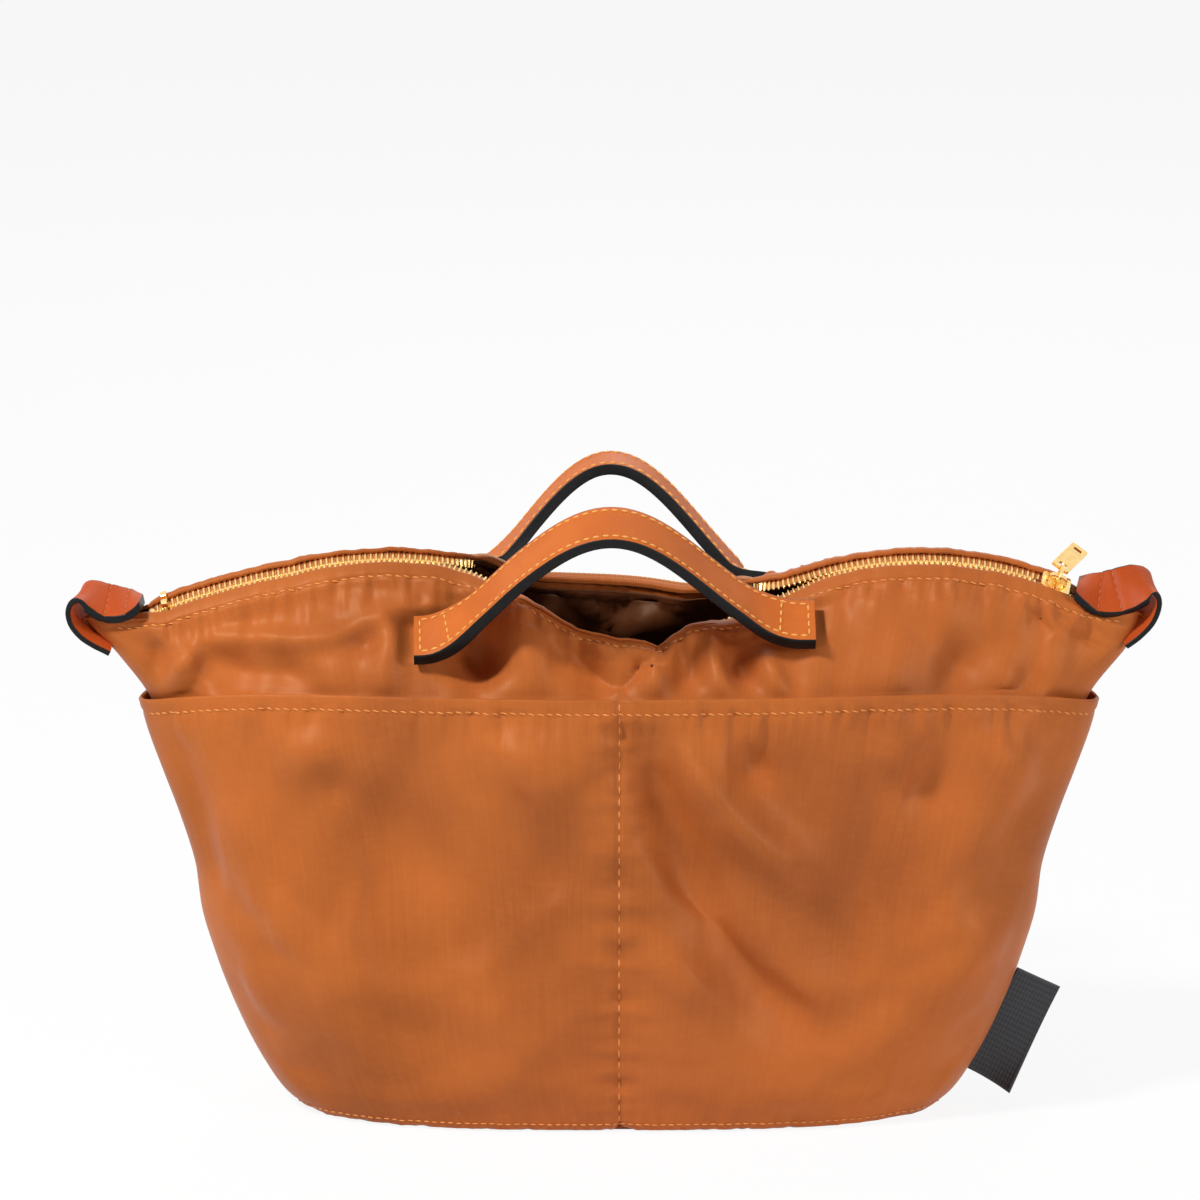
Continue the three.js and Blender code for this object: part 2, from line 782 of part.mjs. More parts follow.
// Oval wire link threaded under the bridge, lying towards the back
function linkPiece() {
  const straight = linkHalfLength - linkHalfWidth;
  const centres = [];
  for (const end of [1, -1]) {
    for (let turn = 0; turn <= linkTurns; turn += 1) {
      const angle = (Math.PI * turn) / linkTurns + (end > 0 ? 0 : Math.PI);
      const across = Math.sin(angle) * linkHalfWidth + end * straight;
      centres.push({ y: across, z: Math.cos(angle) * linkHalfWidth, angle });
    }
  }
  const positions = [];
  const index = [];
  centres.forEach(({ y, z, angle }) => {
    for (let side = 0; side < linkSides; side += 1) {
      const around = (2 * Math.PI * side) / linkSides;
      const out = Math.cos(around) * linkWire;
      const x = Math.sin(around) * linkWire;
      positions.push(x, y + Math.sin(angle) * out, z + Math.cos(angle) * out);
    }
  });
  const count = centres.length;
  for (let ring = 0; ring < count; ring += 1) {
    for (let side = 0; side < linkSides; side += 1) {
      const a = ring * linkSides + side;
      const b = ring * linkSides + ((side + 1) % linkSides);
      const c = ((ring + 1) % count) * linkSides + ((side + 1) % linkSides);
      const d = ((ring + 1) % count) * linkSides + side;
      index.push(a, b, c, a, c, d);
    }
  }
  const geometry = solidFrom(positions, index);
  geometry.translate(0, linkCentre, crownBarCentre);
  return geometry;
}

const linkEnd = linkCentre + linkHalfLength;

// Flat pull tab with an eye for the link and a slot near its tip
function tabPiece() {
  const shape = roundedRectangle(tabWidth, tabLength, tabCorner);
  const eye = roundedRectangle(tabEyeWidth, tabEyeHeight, tabCorner, new THREE.Path());
  const slot = roundedRectangle(tabSlotWidth, tabSlotHeight, tabSlotHeight / 3, new THREE.Path());
  const moved = (path, y) => {
    const points = path.getPoints(2).map((point) => new THREE.Vector2(point.x, point.y + y));
    return new THREE.Path(points);
  };
  shape.holes.push(moved(eye, -tabLength / 2 + tabEyeInset + tabEyeHeight / 2));
  shape.holes.push(moved(slot, tabLength / 2 - tabSlotInset - tabSlotHeight / 2));
  const geometry = extruded(shape, tabThickness, 3);
  const eyeCentre = -tabLength / 2 + tabEyeInset + tabEyeHeight / 2;
  geometry.translate(0, -eyeCentre + tabEyeHeight / 2 - linkWire - clearance, -tabThickness / 2);
  geometry.rotateZ(-radians(tabLean));
  geometry.translate(0, linkEnd, crownBarCentre);
  return geometry;
}

// Handles: each strap leans outwards from its sewn ends
const handleSeatX = handleHalfSpan + handleSewnLength / 2;
const handleTurn = (side) => radians(side < 0 ? 180 - handleLean : handleLean);

// Highest and lowest rows of the wall that a sewn end covers, found from its height
function wallRowAt(side, x, height) {
  let low = 1;
  let high = 2;
  for (let step = 0; step < searchSteps; step += 1) {
    const middle = (low + high) / 2;
    const column = columnAt(side, x, middle);
    if (clothPoint(side, column, middle, 0).z < height) {
      low = middle;
    } else {
      high = middle;
    }
  }
  return (low + high) / 2;
}

function columnAt(side, x, row) {
  let low = -1;
  let high = 1;
  for (let step = 0; step < searchSteps; step += 1) {
    const middle = (low + high) / 2;
    if (clothPoint(side, middle, row, 0).x < x) {
      low = middle;
    } else {
      high = middle;
    }
  }
  return (low + high) / 2;
}

// Seats of the two sewn ends: planes on the wall, each lifted clear of everything under the strap
function handleSeat(side) {
  const onWall = (x, height, extra) => {
    const row = wallRowAt(side, x, height);
    return clothPoint(side, columnAt(side, x, row), row + extra, 0);
  };
  const places = [-1, 1].map((end) => {
    const x = end * handleSeatX;
    const point = onWall(x, handleSeatHeight, 0);
    const climb = onWall(x, handleSeatHeight, seatRowShare).sub(point).setX(0).normalize();
    return { end, point, climb };
  });
  const climb = places[0].climb.clone().add(places[1].climb).normalize();
  const normal = new THREE.Vector3(0, side * climb.z, -side * climb.y);
  const [left, right] = places.map(({ end, point }) => {
    let lift = -Infinity;
    for (const along of seatLengthShares) {
      for (const across of seatWidthShares) {
        const x = end * (handleHalfSpan + along * handleSewnLength);
        const under = onWall(x, point.z + across * strapWidth * climb.z, 0).sub(point);
        lift = Math.max(lift, under.dot(normal));
      }
    }
    return point.setX(end * handleSeatX).addScaledVector(normal, lift + seatLift + strapLayer + clearance / 2);
  });
  return { left, right, climb };
}

// The strap at a place along the bag: level where it is sewn, then arched along the lean
function strapFrame(side, seat, x) {
  const turn = handleTurn(side);
  const rising = new THREE.Vector3(0, Math.cos(turn), Math.sin(turn));
  const share = Math.min(1, Math.abs(x) / handleHalfSpan);
  const rise = (handleRise / 2) * (1 + Math.cos(Math.PI * share));
  const slope = share < 1 ? -(handleRise / 2) * (Math.PI / handleHalfSpan) * Math.sin(Math.PI * share) : 0;
  const base = seat.left.clone().lerp(seat.right, (x / handleSeatX + 1) / 2);
  const point = base.addScaledVector(rising, rise);
  const along = seat.right.clone().sub(seat.left).normalize();
  along.addScaledVector(rising, slope * Math.sign(x)).normalize();
  const archWide = new THREE.Vector3().crossVectors(rising, new THREE.Vector3(1, 0, 0)).multiplyScalar(-side);
  const freed = smooth(rise / strapWidth / handleFreedShare);
  const wide = seat.climb.clone().lerp(archWide, freed);
  wide.addScaledVector(along, -wide.dot(along)).normalize();
  const thick = new THREE.Vector3().crossVectors(along, wide).multiplyScalar(-side).normalize();
  return { point, wide, thick, along };
}

// The same frame sheared along the strap, so that a cut there is square to the line it flexes about
function squareFrame({ point, wide, thick, along }) {
  const sheared = (vector) => vector.clone().addScaledVector(along, -vector.x / along.x);
  return { point, wide: sheared(wide), thick: sheared(thick), along };
}

function strapFrames(side, seat, fromX, toX, count) {
  const frames = [];
  for (let step = 0; step <= count; step += 1) {
    const x = lerp(fromX, toX, step / count);
    const frame = strapFrame(side, seat, x);
    const atFlex = Math.abs(x) < handleHalfSpan && (step === 0 || step === count);
    frames.push(atFlex ? squareFrame(frame) : frame);
  }
  return frames;
}

function shifted(frames, distance) {
  return frames.map(({ point, wide, thick }) => (
    { point: point.clone().addScaledVector(thick, distance), wide, thick }
  ));
}

const strapThickness = 2 * strapLayer + clearance;

function handleEndPiece(side, seat, end) {
  const outer = end * (handleHalfSpan + handleSewnLength);
  const inner = end * (handleFlexX + clearance);
  return ribbon(strapFrames(side, seat, outer, inner, handleEndSteps), strapWidth, strapThickness);
}

function handleLayerPiece(side, seat, share) {
  const frames = strapFrames(side, seat, -handleFlexX, handleFlexX, handleSteps);
  const distance = share * (strapLayer / 2 + clearance / 2);
  return ribbon(shifted(frames, distance), strapWidth, strapLayer);
}

// End loops: a strap over the end of the mouth, out, down and back to the side seam. It lies
// level where it is sewn and leans to the front past the tip
function loopPiece(end) {
  const over = foldLift + clearance + loopThickness / 2 + loopSeatLift;
  const startX = tipX - loopStartInset;
  const midX = tipX - loopMidInset;
  const points = [
    [startX, ridgeHeight(end * startX) + over],
    [midX, ridgeHeight(end * midX) + over],
    [tipX + loopCrestReach, tipHeight + loopCrestRise],
    [tipX + loopShoulderReach, tipHeight + loopShoulderRise],
    [tipX + loopOuterReach, tipHeight + loopOuterRise],
    [tipX + loopReturnReach, tipHeight - loopReturnDrop],
    [tipX + loopEndReach, tipHeight - loopEndDrop],
  ];
  const curve = new THREE.CatmullRomCurve3(points.map(([x, z]) => new THREE.Vector3(x, 0, z)));
  const frames = curve.getSpacedPoints(loopSteps).map((point, at, all) => {
    const before = all[Math.max(0, at - 1)];
    const after = all[Math.min(all.length - 1, at + 1)];
    const along = after.clone().sub(before).normalize();
    const tilt = radians(loopTilt * ramp(point.x, midX, tipX + loopCrestReach));
    const wide = new THREE.Vector3(0, Math.cos(tilt), Math.sin(tilt));
    wide.addScaledVector(along, -wide.dot(along)).normalize();
    const thick = new THREE.Vector3().crossVectors(wide, along).normalize();
    const place = (vector) => new THREE.Vector3(vector.x * end, vector.y, vector.z);
    return { point: place(point), wide: place(wide), thick: place(thick) };
  });
  return ribbon(frames, loopWidth, loopThickness);
}

// Label held in the right side seam, hanging out square to the seam
function labelPlace() {
  const seamAt = (height) => bodyPoint(1, 1, height / (hemHeight - hemSeamDrop), 0);
  const foot = seamAt(labelBottomHeight);
  const head = seamAt(labelBottomHeight + labelLength * labelHeldShare);
  const along = head.clone().sub(foot).normalize();
  const outward = new THREE.Vector3(along.z, 0, -along.x);
  let lift = 0;
  for (const share of labelTestShares) {
    const seam = seamAt(lerp(labelBottomHeight, labelBottomHeight + labelLength * labelHeldShare, share));
    lift = Math.max(lift, seam.sub(foot).dot(outward));
  }
  const corner = foot.addScaledVector(outward, lift + clearance);
  return { corner, along, outward };
}

function labelPiece() {
  const { corner, along, outward } = labelPlace();
  const across = new THREE.Vector3(0, 1, 0);
  const matrix = new THREE.Matrix4().makeBasis(outward, across, along);
  const geometry = new THREE.BoxGeometry(labelWidth, labelThickness, labelLength);
  geometry.translate(labelWidth / 2, 0, labelLength / 2);
  return geometry.applyMatrix4(matrix).translate(corner.x, corner.y, corner.z);
}

// Assembly
const organizer = new THREE.Group();
organizer.name = 'purse_organizer_insert';

function addMesh(name, geometry, colour, roughness, metalness, parent = organizer) {
  const material = new THREE.MeshStandardMaterial({ color: colour, roughness, metalness });
  const mesh = new THREE.Mesh(geometry, material);
  mesh.name = name;
  parent.add(mesh);
  return mesh;
}

const addNylon = (name, geometry) => addMesh(name, geometry, nylonColour, 0.45, 0);
const addLining = (name, geometry) => addMesh(name, geometry, liningColour, 0.7, 0);
const addLeather = (name, geometry) => addMesh(name, geometry, leatherColour, 0.5, 0);
const addGold = (name, geometry, parent) => addMesh(name, geometry, goldColour, 0.25, 1, parent);

addNylon('base_panel', plate(wallFootInset, 0, basePanelThickness));
addMesh('base_board', plate(wallFootInset, boardBottom, baseBoardThickness), boardColour, 0.8, 0);
addLining('base_lining', plate(wallFootInset, baseLiningBottom, baseLiningThickness));

for (const [name, side] of [['front', -1], ['back', 1]]) {
  addNylon(`${name}_wall`, wallPiece(side));
  addNylon(`${name}_pocket_panel`, pocketPiece(side));
  addLining(`${name}_lining`, liningPiece(side));
  addLining(`${name}_inner_pocket`, innerPocketPiece(side));
  addMesh(`${name}_zipper_tape`, tapePiece(side), tapeColour, 0.8, 0);
  addGold(`${name}_zipper_teeth`, teethPiece(side));
  addGold(`${name}_top_stop`, topStopPiece(side));
  const seat = handleSeat(side);
  addLeather(`${name}_handle_face`, handleLayerPiece(side, seat, 1));
  addLeather(`${name}_handle_backing`, handleLayerPiece(side, seat, -1));
  addLeather(`${name}_handle_end_left`, handleEndPiece(side, seat, -1));
  addLeather(`${name}_handle_end_right`, handleEndPiece(side, seat, 1));
}

addGold('bottom_stop', bottomStopPiece());

const slider = new THREE.Group();
slider.applyMatrix4(sliderMatrix());
organizer.add(slider);
addGold('slider_body', sliderPiece(), slider);
addGold('slider_crown', crownPiece(), slider);
addGold('pull_link', linkPiece(), slider);
addGold('pull_tab', tabPiece(), slider);

addMesh('left_end_loop', loopPiece(-1), loopColour, 0.5, 0);
addMesh('right_end_loop', loopPiece(1), loopColour, 0.5, 0);
addMesh('side_label', labelPiece(), labelColour, 0.6, 0);

export default organizer;
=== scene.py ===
# Purse organizer insert: a soft satin nylon bag with slip pockets, an open zipped mouth,
# two leather handles, a leather loop at each end and a woven label in the side seam.
# Shapes are worked out in millimetres, as a maker would give them, and placed in metres.
import math

import bmesh
import bpy
import numpy as np
from mathutils import Matrix, Vector


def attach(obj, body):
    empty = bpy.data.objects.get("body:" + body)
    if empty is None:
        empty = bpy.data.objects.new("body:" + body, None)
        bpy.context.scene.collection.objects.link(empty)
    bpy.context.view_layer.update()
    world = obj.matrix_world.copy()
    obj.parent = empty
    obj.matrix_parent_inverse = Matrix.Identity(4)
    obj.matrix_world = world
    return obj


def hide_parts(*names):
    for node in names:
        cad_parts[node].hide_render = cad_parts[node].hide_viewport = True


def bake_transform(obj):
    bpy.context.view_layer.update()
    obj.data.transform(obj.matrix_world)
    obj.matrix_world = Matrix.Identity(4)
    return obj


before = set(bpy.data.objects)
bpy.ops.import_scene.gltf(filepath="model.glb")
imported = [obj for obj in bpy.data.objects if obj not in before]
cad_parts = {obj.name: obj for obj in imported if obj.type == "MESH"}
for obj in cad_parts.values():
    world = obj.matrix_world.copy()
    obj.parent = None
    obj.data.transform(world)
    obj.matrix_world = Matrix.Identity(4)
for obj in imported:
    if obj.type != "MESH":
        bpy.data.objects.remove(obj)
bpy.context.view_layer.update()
rng = np.random.default_rng(11)

MM = 0.001
SIDES = ((-1, "front"), (1, "back"))

# Body of the bag
BASE_LENGTH = 236.0
BASE_DEPTH = 100.0
BASE_CORNER_POWER = 3.0
HEM_LENGTH = 350.0
HEM_DEPTH = 88.0
HEM_CORNER_POWER = 2.0
HEM_HEIGHT = 161.0
HEM_SEAM_DROP = 11.0
HEM_DROP_POWER = 6
BELLY_BULGE = 6.0
SEAM_GAP = 0.02

# Mouth and end wings
TIP_SPAN = 374.0
TIP_HEIGHT = 180.0
WING_BULGE = 6.0
WING_BULGE_POWER = 11
LEFT_CREST_HEIGHT = 204.0
VALLEY_HEIGHT = 189.0
RIGHT_ARC_RADIUS = 128.0
RIGHT_ARC_X = 110.0
RIGHT_CREST_HEIGHT = 201.6
ARC_START_X = 68.0
ARC_END_X = 168.0
MOUTH_CENTRE_X = -2.0
MOUTH_HALF_OPENING = 66.0
FRONT_OPENING = 20.0
BACK_OPENING = 30.0
WALL_RISE = 14.0
WALL_LEAN_SHARE = 0.35
EDGE_ROLL = 9.0
FRONT_MIDDLE_ROLL = 4.0
END_ROLL_SHARE = 0.25
END_SETTLE_LENGTH = 10.0
FLAT_SHOULDER_ROLL = 2.0
FLAT_SHOULDER_START = (-118.0, -94.0)
FLAT_SHOULDER_END = (-46.0, -28.0)
# How far the tips of the wings are drawn outwards and upwards
TIP_DRAWS = {-1: (6.0, 0.5), 1: (1.5, 3.5)}

# Cloth
CLOTH_THICKNESS = 0.7
LINING_THICKNESS = 0.5
INNER_POCKET_THICKNESS = 0.6
POCKET_STAND = 2.6
POCKET_SLACK = 10.0
POCKET_CLOTH = 1.4
CLEARANCE = 0.3
WALL_CLOTH = 1.6
LINING_INSET = 1.3
LINING_NARROWING = 0.997
LINING_FOOT = 5.4
LINING_TOPS = {-1: 5.6, 1: 3.4}
EDGE_TUCKS = {-1: 3.4, 1: 1.5}
BACK_FOLD_SHARE = 0.7
HEM_BAND = 4.6
EDGE_TURN = 0.8
FOOT_ROLL = 3.0
FOOT_TUCK = 5.0
LOWEST_CLOTH = 0.05
FOOT_STITCH_HEIGHT = 3.3
FOOT_STITCH_HALF_LENGTH = 112.0
BASE_CLOTH_INSET = 3.6

# How a panel settles in its seams: frames of simulation, greatest move, and grid places per step
SETTLING_FRAMES = 16
SETTLING_LIMIT = 3.0
SETTLING_STEP = 4
SETTLING_SMOOTHINGS = 6
SETTLING_GRAVITY = 0.3
SETTLING_PRESSURE = 0.4
HELD_SHARE = 0.15
CLOTH_SETTINGS = {
    "vertex_group_mass": "held", "quality": 6, "mass": 0.2, "tension_stiffness": 20,
    "compression_stiffness": 20, "shear_stiffness": 8, "bending_stiffness": 0.6, "use_pressure": True,
}

# Stitches: pitch, length of each thread on the face, and its width
HEM_STITCH = (3.4, 2.8, 0.72)
DIVIDER_STITCH = (4.4, 3.2, 0.74)
FOOT_STITCH = (3.0, 2.3, 0.55)
MOUTH_STITCH = (3.3, 2.7, 0.72)
INNER_POCKET_STITCH = (3.3, 2.5, 0.55)
HANDLE_STITCH = (3.5, 2.8, 0.86)
LOOP_STITCH = (2.9, 2.3, 0.66)

# Zipper
CHAIN_TILT = 28.0
FRONT_MIDDLE_TILT = -40.0
BACK_MIDDLE_TILT = 100.0
BACK_FLAP_TILT = 310.0
TWIST_SHARE = 1.25
FLAP_SHARE = 3.4
TOOTH_PITCH = 2.0
TOOTH_WIDTH = 1.45
TOOTH_ROOT = 3.8
TOOTH_TIP = -0.5
TOOTH_TIP_AT_SLIDER = 0.9
TOOTH_HEIGHT = 1.9
TOOTH_TAPER = 0.3
TOOTH_NARROWING = 0.36
FOLD_EDGE = 4.1
TAPE_THICKNESS = 0.7
# Rows of the tape under the wall, how deep it lies there, closed and open, and its rows beside it
TAPE_COVERED_ROWS = (1.84, 1.92, 1.985)
TAPE_DEPTHS = (1.9, -0.9)
TAPE_SEEN_REACHES = (4.0, 3.2, 2.2, 1.1, 0.4)
TEETH_END_X = 164.0
TEETH_ENDS = {-1: -168.5, 1: 164.0}
SLIDER_X = 158.0
SLIDER_HOLD = (5.0, 9.0)
FACING_WIDTH = 6.0
# End stop of the zipper: distance from the last tooth, length, width and the span of one face
STOP_OFFSET = 1.2
STOP_LENGTH = 2.4
STOP_WIDTH = 4.4
STOP_FACE = (0.2, 1.25)
METAL_EDGE = 0.28

# Handles
STRAP_WIDTH = 19.0
STRAP_THICKNESS = 4.1
STITCH_INSET = 2.3
HANDLE_BOX_LENGTH = 11.0
HANDLE_SEAT_X = 67.0
HANDLE_LEAN = 65.0
HANDLE_FREED_SHARE = 0.6
SEWN_END_HALF = 7.0
SEWN_END_EXTRA_SHARE = 0.3
SEWN_END_START = (46.0, 64.0)

# Where a strap presses the cloth in: reach along it and across it, full and faded out
SEWN_END_PRESS = ((7.5, 15.0), (9.0, 14.0))
LOOP_PRESS = ((1.5, 3.0), (9.0, 11.0))
PRESS_GAP = 0.2

# Side label
LABEL_LENGTH = 43.0
LABEL_WIDTH = 17.5
LABEL_THICKNESS = 0.6
LABEL_ROOT = 0.25
LABEL_BOW = 0.9
LABEL_LEAN = 6.5
# The seam that holds the label: its lower end and its direction
LABEL_FOOT = np.array([128.449, 0, 8.289])
LABEL_UP = np.array([0.43747, 0, 0.89923])
LABEL_OUT = np.array([LABEL_UP[2], 0, -LABEL_UP[0]])

# Inner pockets
INNER_POCKET_HALF = 95.0
INNER_POCKET_STAND = 6.0
INNER_POCKET_GAP = 2.6
INNER_POCKET_TUCK = 6.0
INNER_POCKET_BAND = 5.0
INNER_POCKET_FOOT_SHARE = 0.32
INNER_POCKET_TOP_SHARE = 0.84

# Camera of the photograph: place in metres, lens and film in millimetres, tilt in degrees
CAMERA_PLACE = (-0.00691, -2.41481, 0.83432)
CAMERA_LENS = 206.25
CAMERA_FILM = 36
CAMERA_TILT = 75

WIDTH_STATION_SHARES = [
    (0, 0), (0.044, 0.125), (0.107, 0.236), (0.17, 0.325), (0.233, 0.4), (0.296, 0.468), (0.36, 0.528),
    (0.48, 0.622), (0.6, 0.665), (0.72, 0.76), (0.85, 0.885), (0.93, 0.955), (1, 1),
]
RIDGE_STATION_SHARES = [
    (-1, -0.5), (-0.96, -0.52), (-0.918, -0.48), (-0.829, -0.08), (-0.706, 0.36), (-0.64, 0.54),
    (-0.56, 0.77), (-0.46, 0.89), (-0.4, 0.87), (-0.34, 0.79), (-0.27, 0.62), (-0.16, 0.33),
    (-0.05, 0.09), (0.07, 0), (0.2, -0.02), (0.29, 0.12),
]

# How far the front edge hangs below the ridge line, at places along the bag
FRONT_DIP = [
    (-60, 0), (-50, 0.6), (-33.5, 3), (-17.8, 8.7), (-4, 10.8), (6.9, 12.1), (10.5, 13.6), (13.4, 14.4),
    (16.6, 12.6), (20.5, 9.8), (26.2, 6.5), (38.9, 6), (52, 4), (66, 1.5), (80, 0),
]


# Vector helpers on arrays whose last axis is x, y, z
def vec(x, y, z):
    return np.stack(np.broadcast_arrays(x, y, z), axis=-1).astype(float)


def unit(v):
    return v / np.maximum(np.linalg.norm(v, axis=-1, keepdims=True), 1e-9)


def dot(a, b):
    return (a * b).sum(-1, keepdims=True)


def lerp(a, b, share):
    return a + (b - a) * share


def smooth(share):
    held = np.clip(share, 0, 1)
    return held * held * (3 - 2 * held)


def ramp(value, low, high):
    return smooth((value - low) / (high - low))


def near(away, half_width):
    """1 on a line, dying out at both sides of it."""
    return np.exp(-((away / half_width) ** 2))


def through(stations, place):
    """Smooth curve through stations of place and value, with the slopes of its neighbours."""
    at, value = (np.array(part, float) for part in zip(*stations))
    place = np.clip(np.asarray(place, float), at[0], at[-1])
    before = np.r_[0, np.arange(len(at) - 1)]
    after = np.r_[np.arange(1, len(at)), len(at) - 1]
    slope = (value[after] - value[before]) / (at[after] - at[before])
    i = np.clip(np.searchsorted(at, place, side="left") - 1, 0, len(at) - 2)
    width = at[i + 1] - at[i]
    s = (place - at[i]) / width
    start = (2 * s**3 - 3 * s**2 + 1) * value[i] + (s**3 - 2 * s**2 + s) * width * slope[i]
    end = (3 * s**2 - 2 * s**3) * value[i + 1] + (s**3 - s**2) * width * slope[i + 1]
    return start + end


def travelled(path):
    """How far along a path of points each of them lies."""
    return np.r_[0, np.cumsum(np.linalg.norm(np.diff(path, axis=0), axis=-1))]


def evenly(path, pitch):
    """Places along a path of points, about a pitch apart, as indices with their fractions."""
    lengths = travelled(path)
    count = max(1, int(lengths[-1] / pitch))
    wanted = (np.arange(count) + 0.5) * lengths[-1] / count
    return np.interp(wanted, lengths, np.arange(len(path)))


def picked(path, at):
    """Rows of a path at fractional indices."""
    low = np.clip(np.floor(at).astype(int), 0, len(path) - 2)
    share = (at - low)[:, None]
    return path[low] * (1 - share) + path[low + 1] * share


# Form of the bag: stacked sections below the hem, and a cloth ridge with two humps above it
HALF_WIDTHS = [(h, lerp(BASE_LENGTH / 2, HEM_LENGTH / 2, s)) for h, s in WIDTH_STATION_SHARES]
ARC_CENTRE = RIGHT_CREST_HEIGHT - RIGHT_ARC_RADIUS
FOLD_LIFT = TAPE_THICKNESS / 2 + CLEARANCE + WALL_CLOTH


def arc_height(x):
    return ARC_CENTRE + np.sqrt(np.maximum(0, RIGHT_ARC_RADIUS**2 - (x - RIGHT_ARC_X) ** 2))


RIDGE = [(s * TIP_SPAN / 2, lerp(VALLEY_HEIGHT, LEFT_CREST_HEIGHT, r)) for s, r in RIDGE_STATION_SHARES]
RIDGE += [(x, float(arc_height(x))) for x in (ARC_START_X, ARC_START_X + TOOTH_PITCH)]


def ridge_height(x):
    x = np.asarray(x, float)
    left = through(RIDGE, x)
    end = arc_height(ARC_END_X)
    out = lerp(end, TIP_HEIGHT, (x - ARC_END_X) / (TIP_SPAN / 2 - ARC_END_X))
    return np.where(x <= ARC_START_X, left, np.where(x <= ARC_END_X, arc_height(x), out))


def open_share(x):
    """How far the mouth stands open at a place along it."""
    away = np.minimum(1, np.abs(x - MOUTH_CENTRE_X) / MOUTH_HALF_OPENING)
    return np.cos(away * math.pi / 2) ** 2


def twisted(x):
    return smooth(open_share(x) * TWIST_SHARE)


def depth_share(column, power):
    return np.maximum(0, 1 - np.abs(column) ** power) ** (1 / power)


def body_point(side, column, share, inset):
    """The body below the hem: column runs from -1 to 1 across it, share from the base to the hem."""
    half_width = through(HALF_WIDTHS, share)
    half_depth = lerp(BASE_DEPTH / 2, HEM_DEPTH / 2, share) + BELLY_BULGE * np.sin(math.pi * share)
    power = lerp(BASE_CORNER_POWER, HEM_CORNER_POWER, share)
    height = share * (HEM_HEIGHT - HEM_SEAM_DROP * np.abs(column) ** HEM_DROP_POWER)
    depth = (half_depth - inset) * depth_share(column, power)
    return vec((half_width - inset) * column, side * depth, height)


def chain_point(side, x):
    """The middle line of the zipper, which parts into two where the mouth is open."""
    opening = FRONT_OPENING if side < 0 else BACK_OPENING
    drop = through(FRONT_DIP, x) + FOLD_EDGE * twisted(x) if side < 0 else 0
    return vec(x, side * opening * open_share(x), ridge_height(x) - drop)


def turned(across, up, tilt):
    return across * np.cos(tilt)[..., None] + up * np.sin(tilt)[..., None]


def chain_frame(side, x, middle_tilt=None, share=None):
    """Centre, direction along, way that the teeth point and upper normal of one side of the zipper."""
    x = np.asarray(x, float)
    step = TOOTH_PITCH / 2
    centre = chain_point(side, x)
    along = unit(chain_point(side, x + step) - chain_point(side, x - step))
    up = vec(0 * x, 0 * x, 0 * x + 1)
    up = unit(up - along * dot(up, along))
    across = np.cross(up, along)
    if middle_tilt is None:
        middle_tilt = FRONT_MIDDLE_TILT if side < 0 else BACK_MIDDLE_TILT
    end_tilt = CHAIN_TILT if side < 0 else 180 + CHAIN_TILT
    level = 0 if side < 0 else 180
    outer = lerp(end_tilt, level, ramp(np.abs(x), TEETH_END_X, TEETH_END_X + END_SETTLE_LENGTH))
    tilt = np.radians(lerp(outer, middle_tilt, twisted(x) if share is None else share))
    return centre, along, turned(across, up, tilt), turned(across, up, tilt - side * math.pi / 2)


def row_frame(side, x):
    """Frame of a row of teeth: the back row turns over the edge of the open mouth to the outside."""
    centre, along, inward, normal = chain_frame(side, x)
    if side < 0:
        return centre, along, inward, normal
    edge = centre - inward * FOLD_EDGE + normal * FOLD_LIFT
    _, _, inward, normal = chain_frame(side, x, BACK_FLAP_TILT, smooth(open_share(x) * FLAP_SHARE))
    return edge + inward * FOLD_EDGE - normal * FOLD_LIFT, along, inward, normal


def wing_fade(column):
    """How much of the zipper's width is left towards the tip of a wing."""
    start = ARC_END_X / (TIP_SPAN / 2)
    away = np.maximum(0, (np.abs(column) - start) / (1 - start))
    return np.sqrt(np.maximum(0, 1 - away * away))


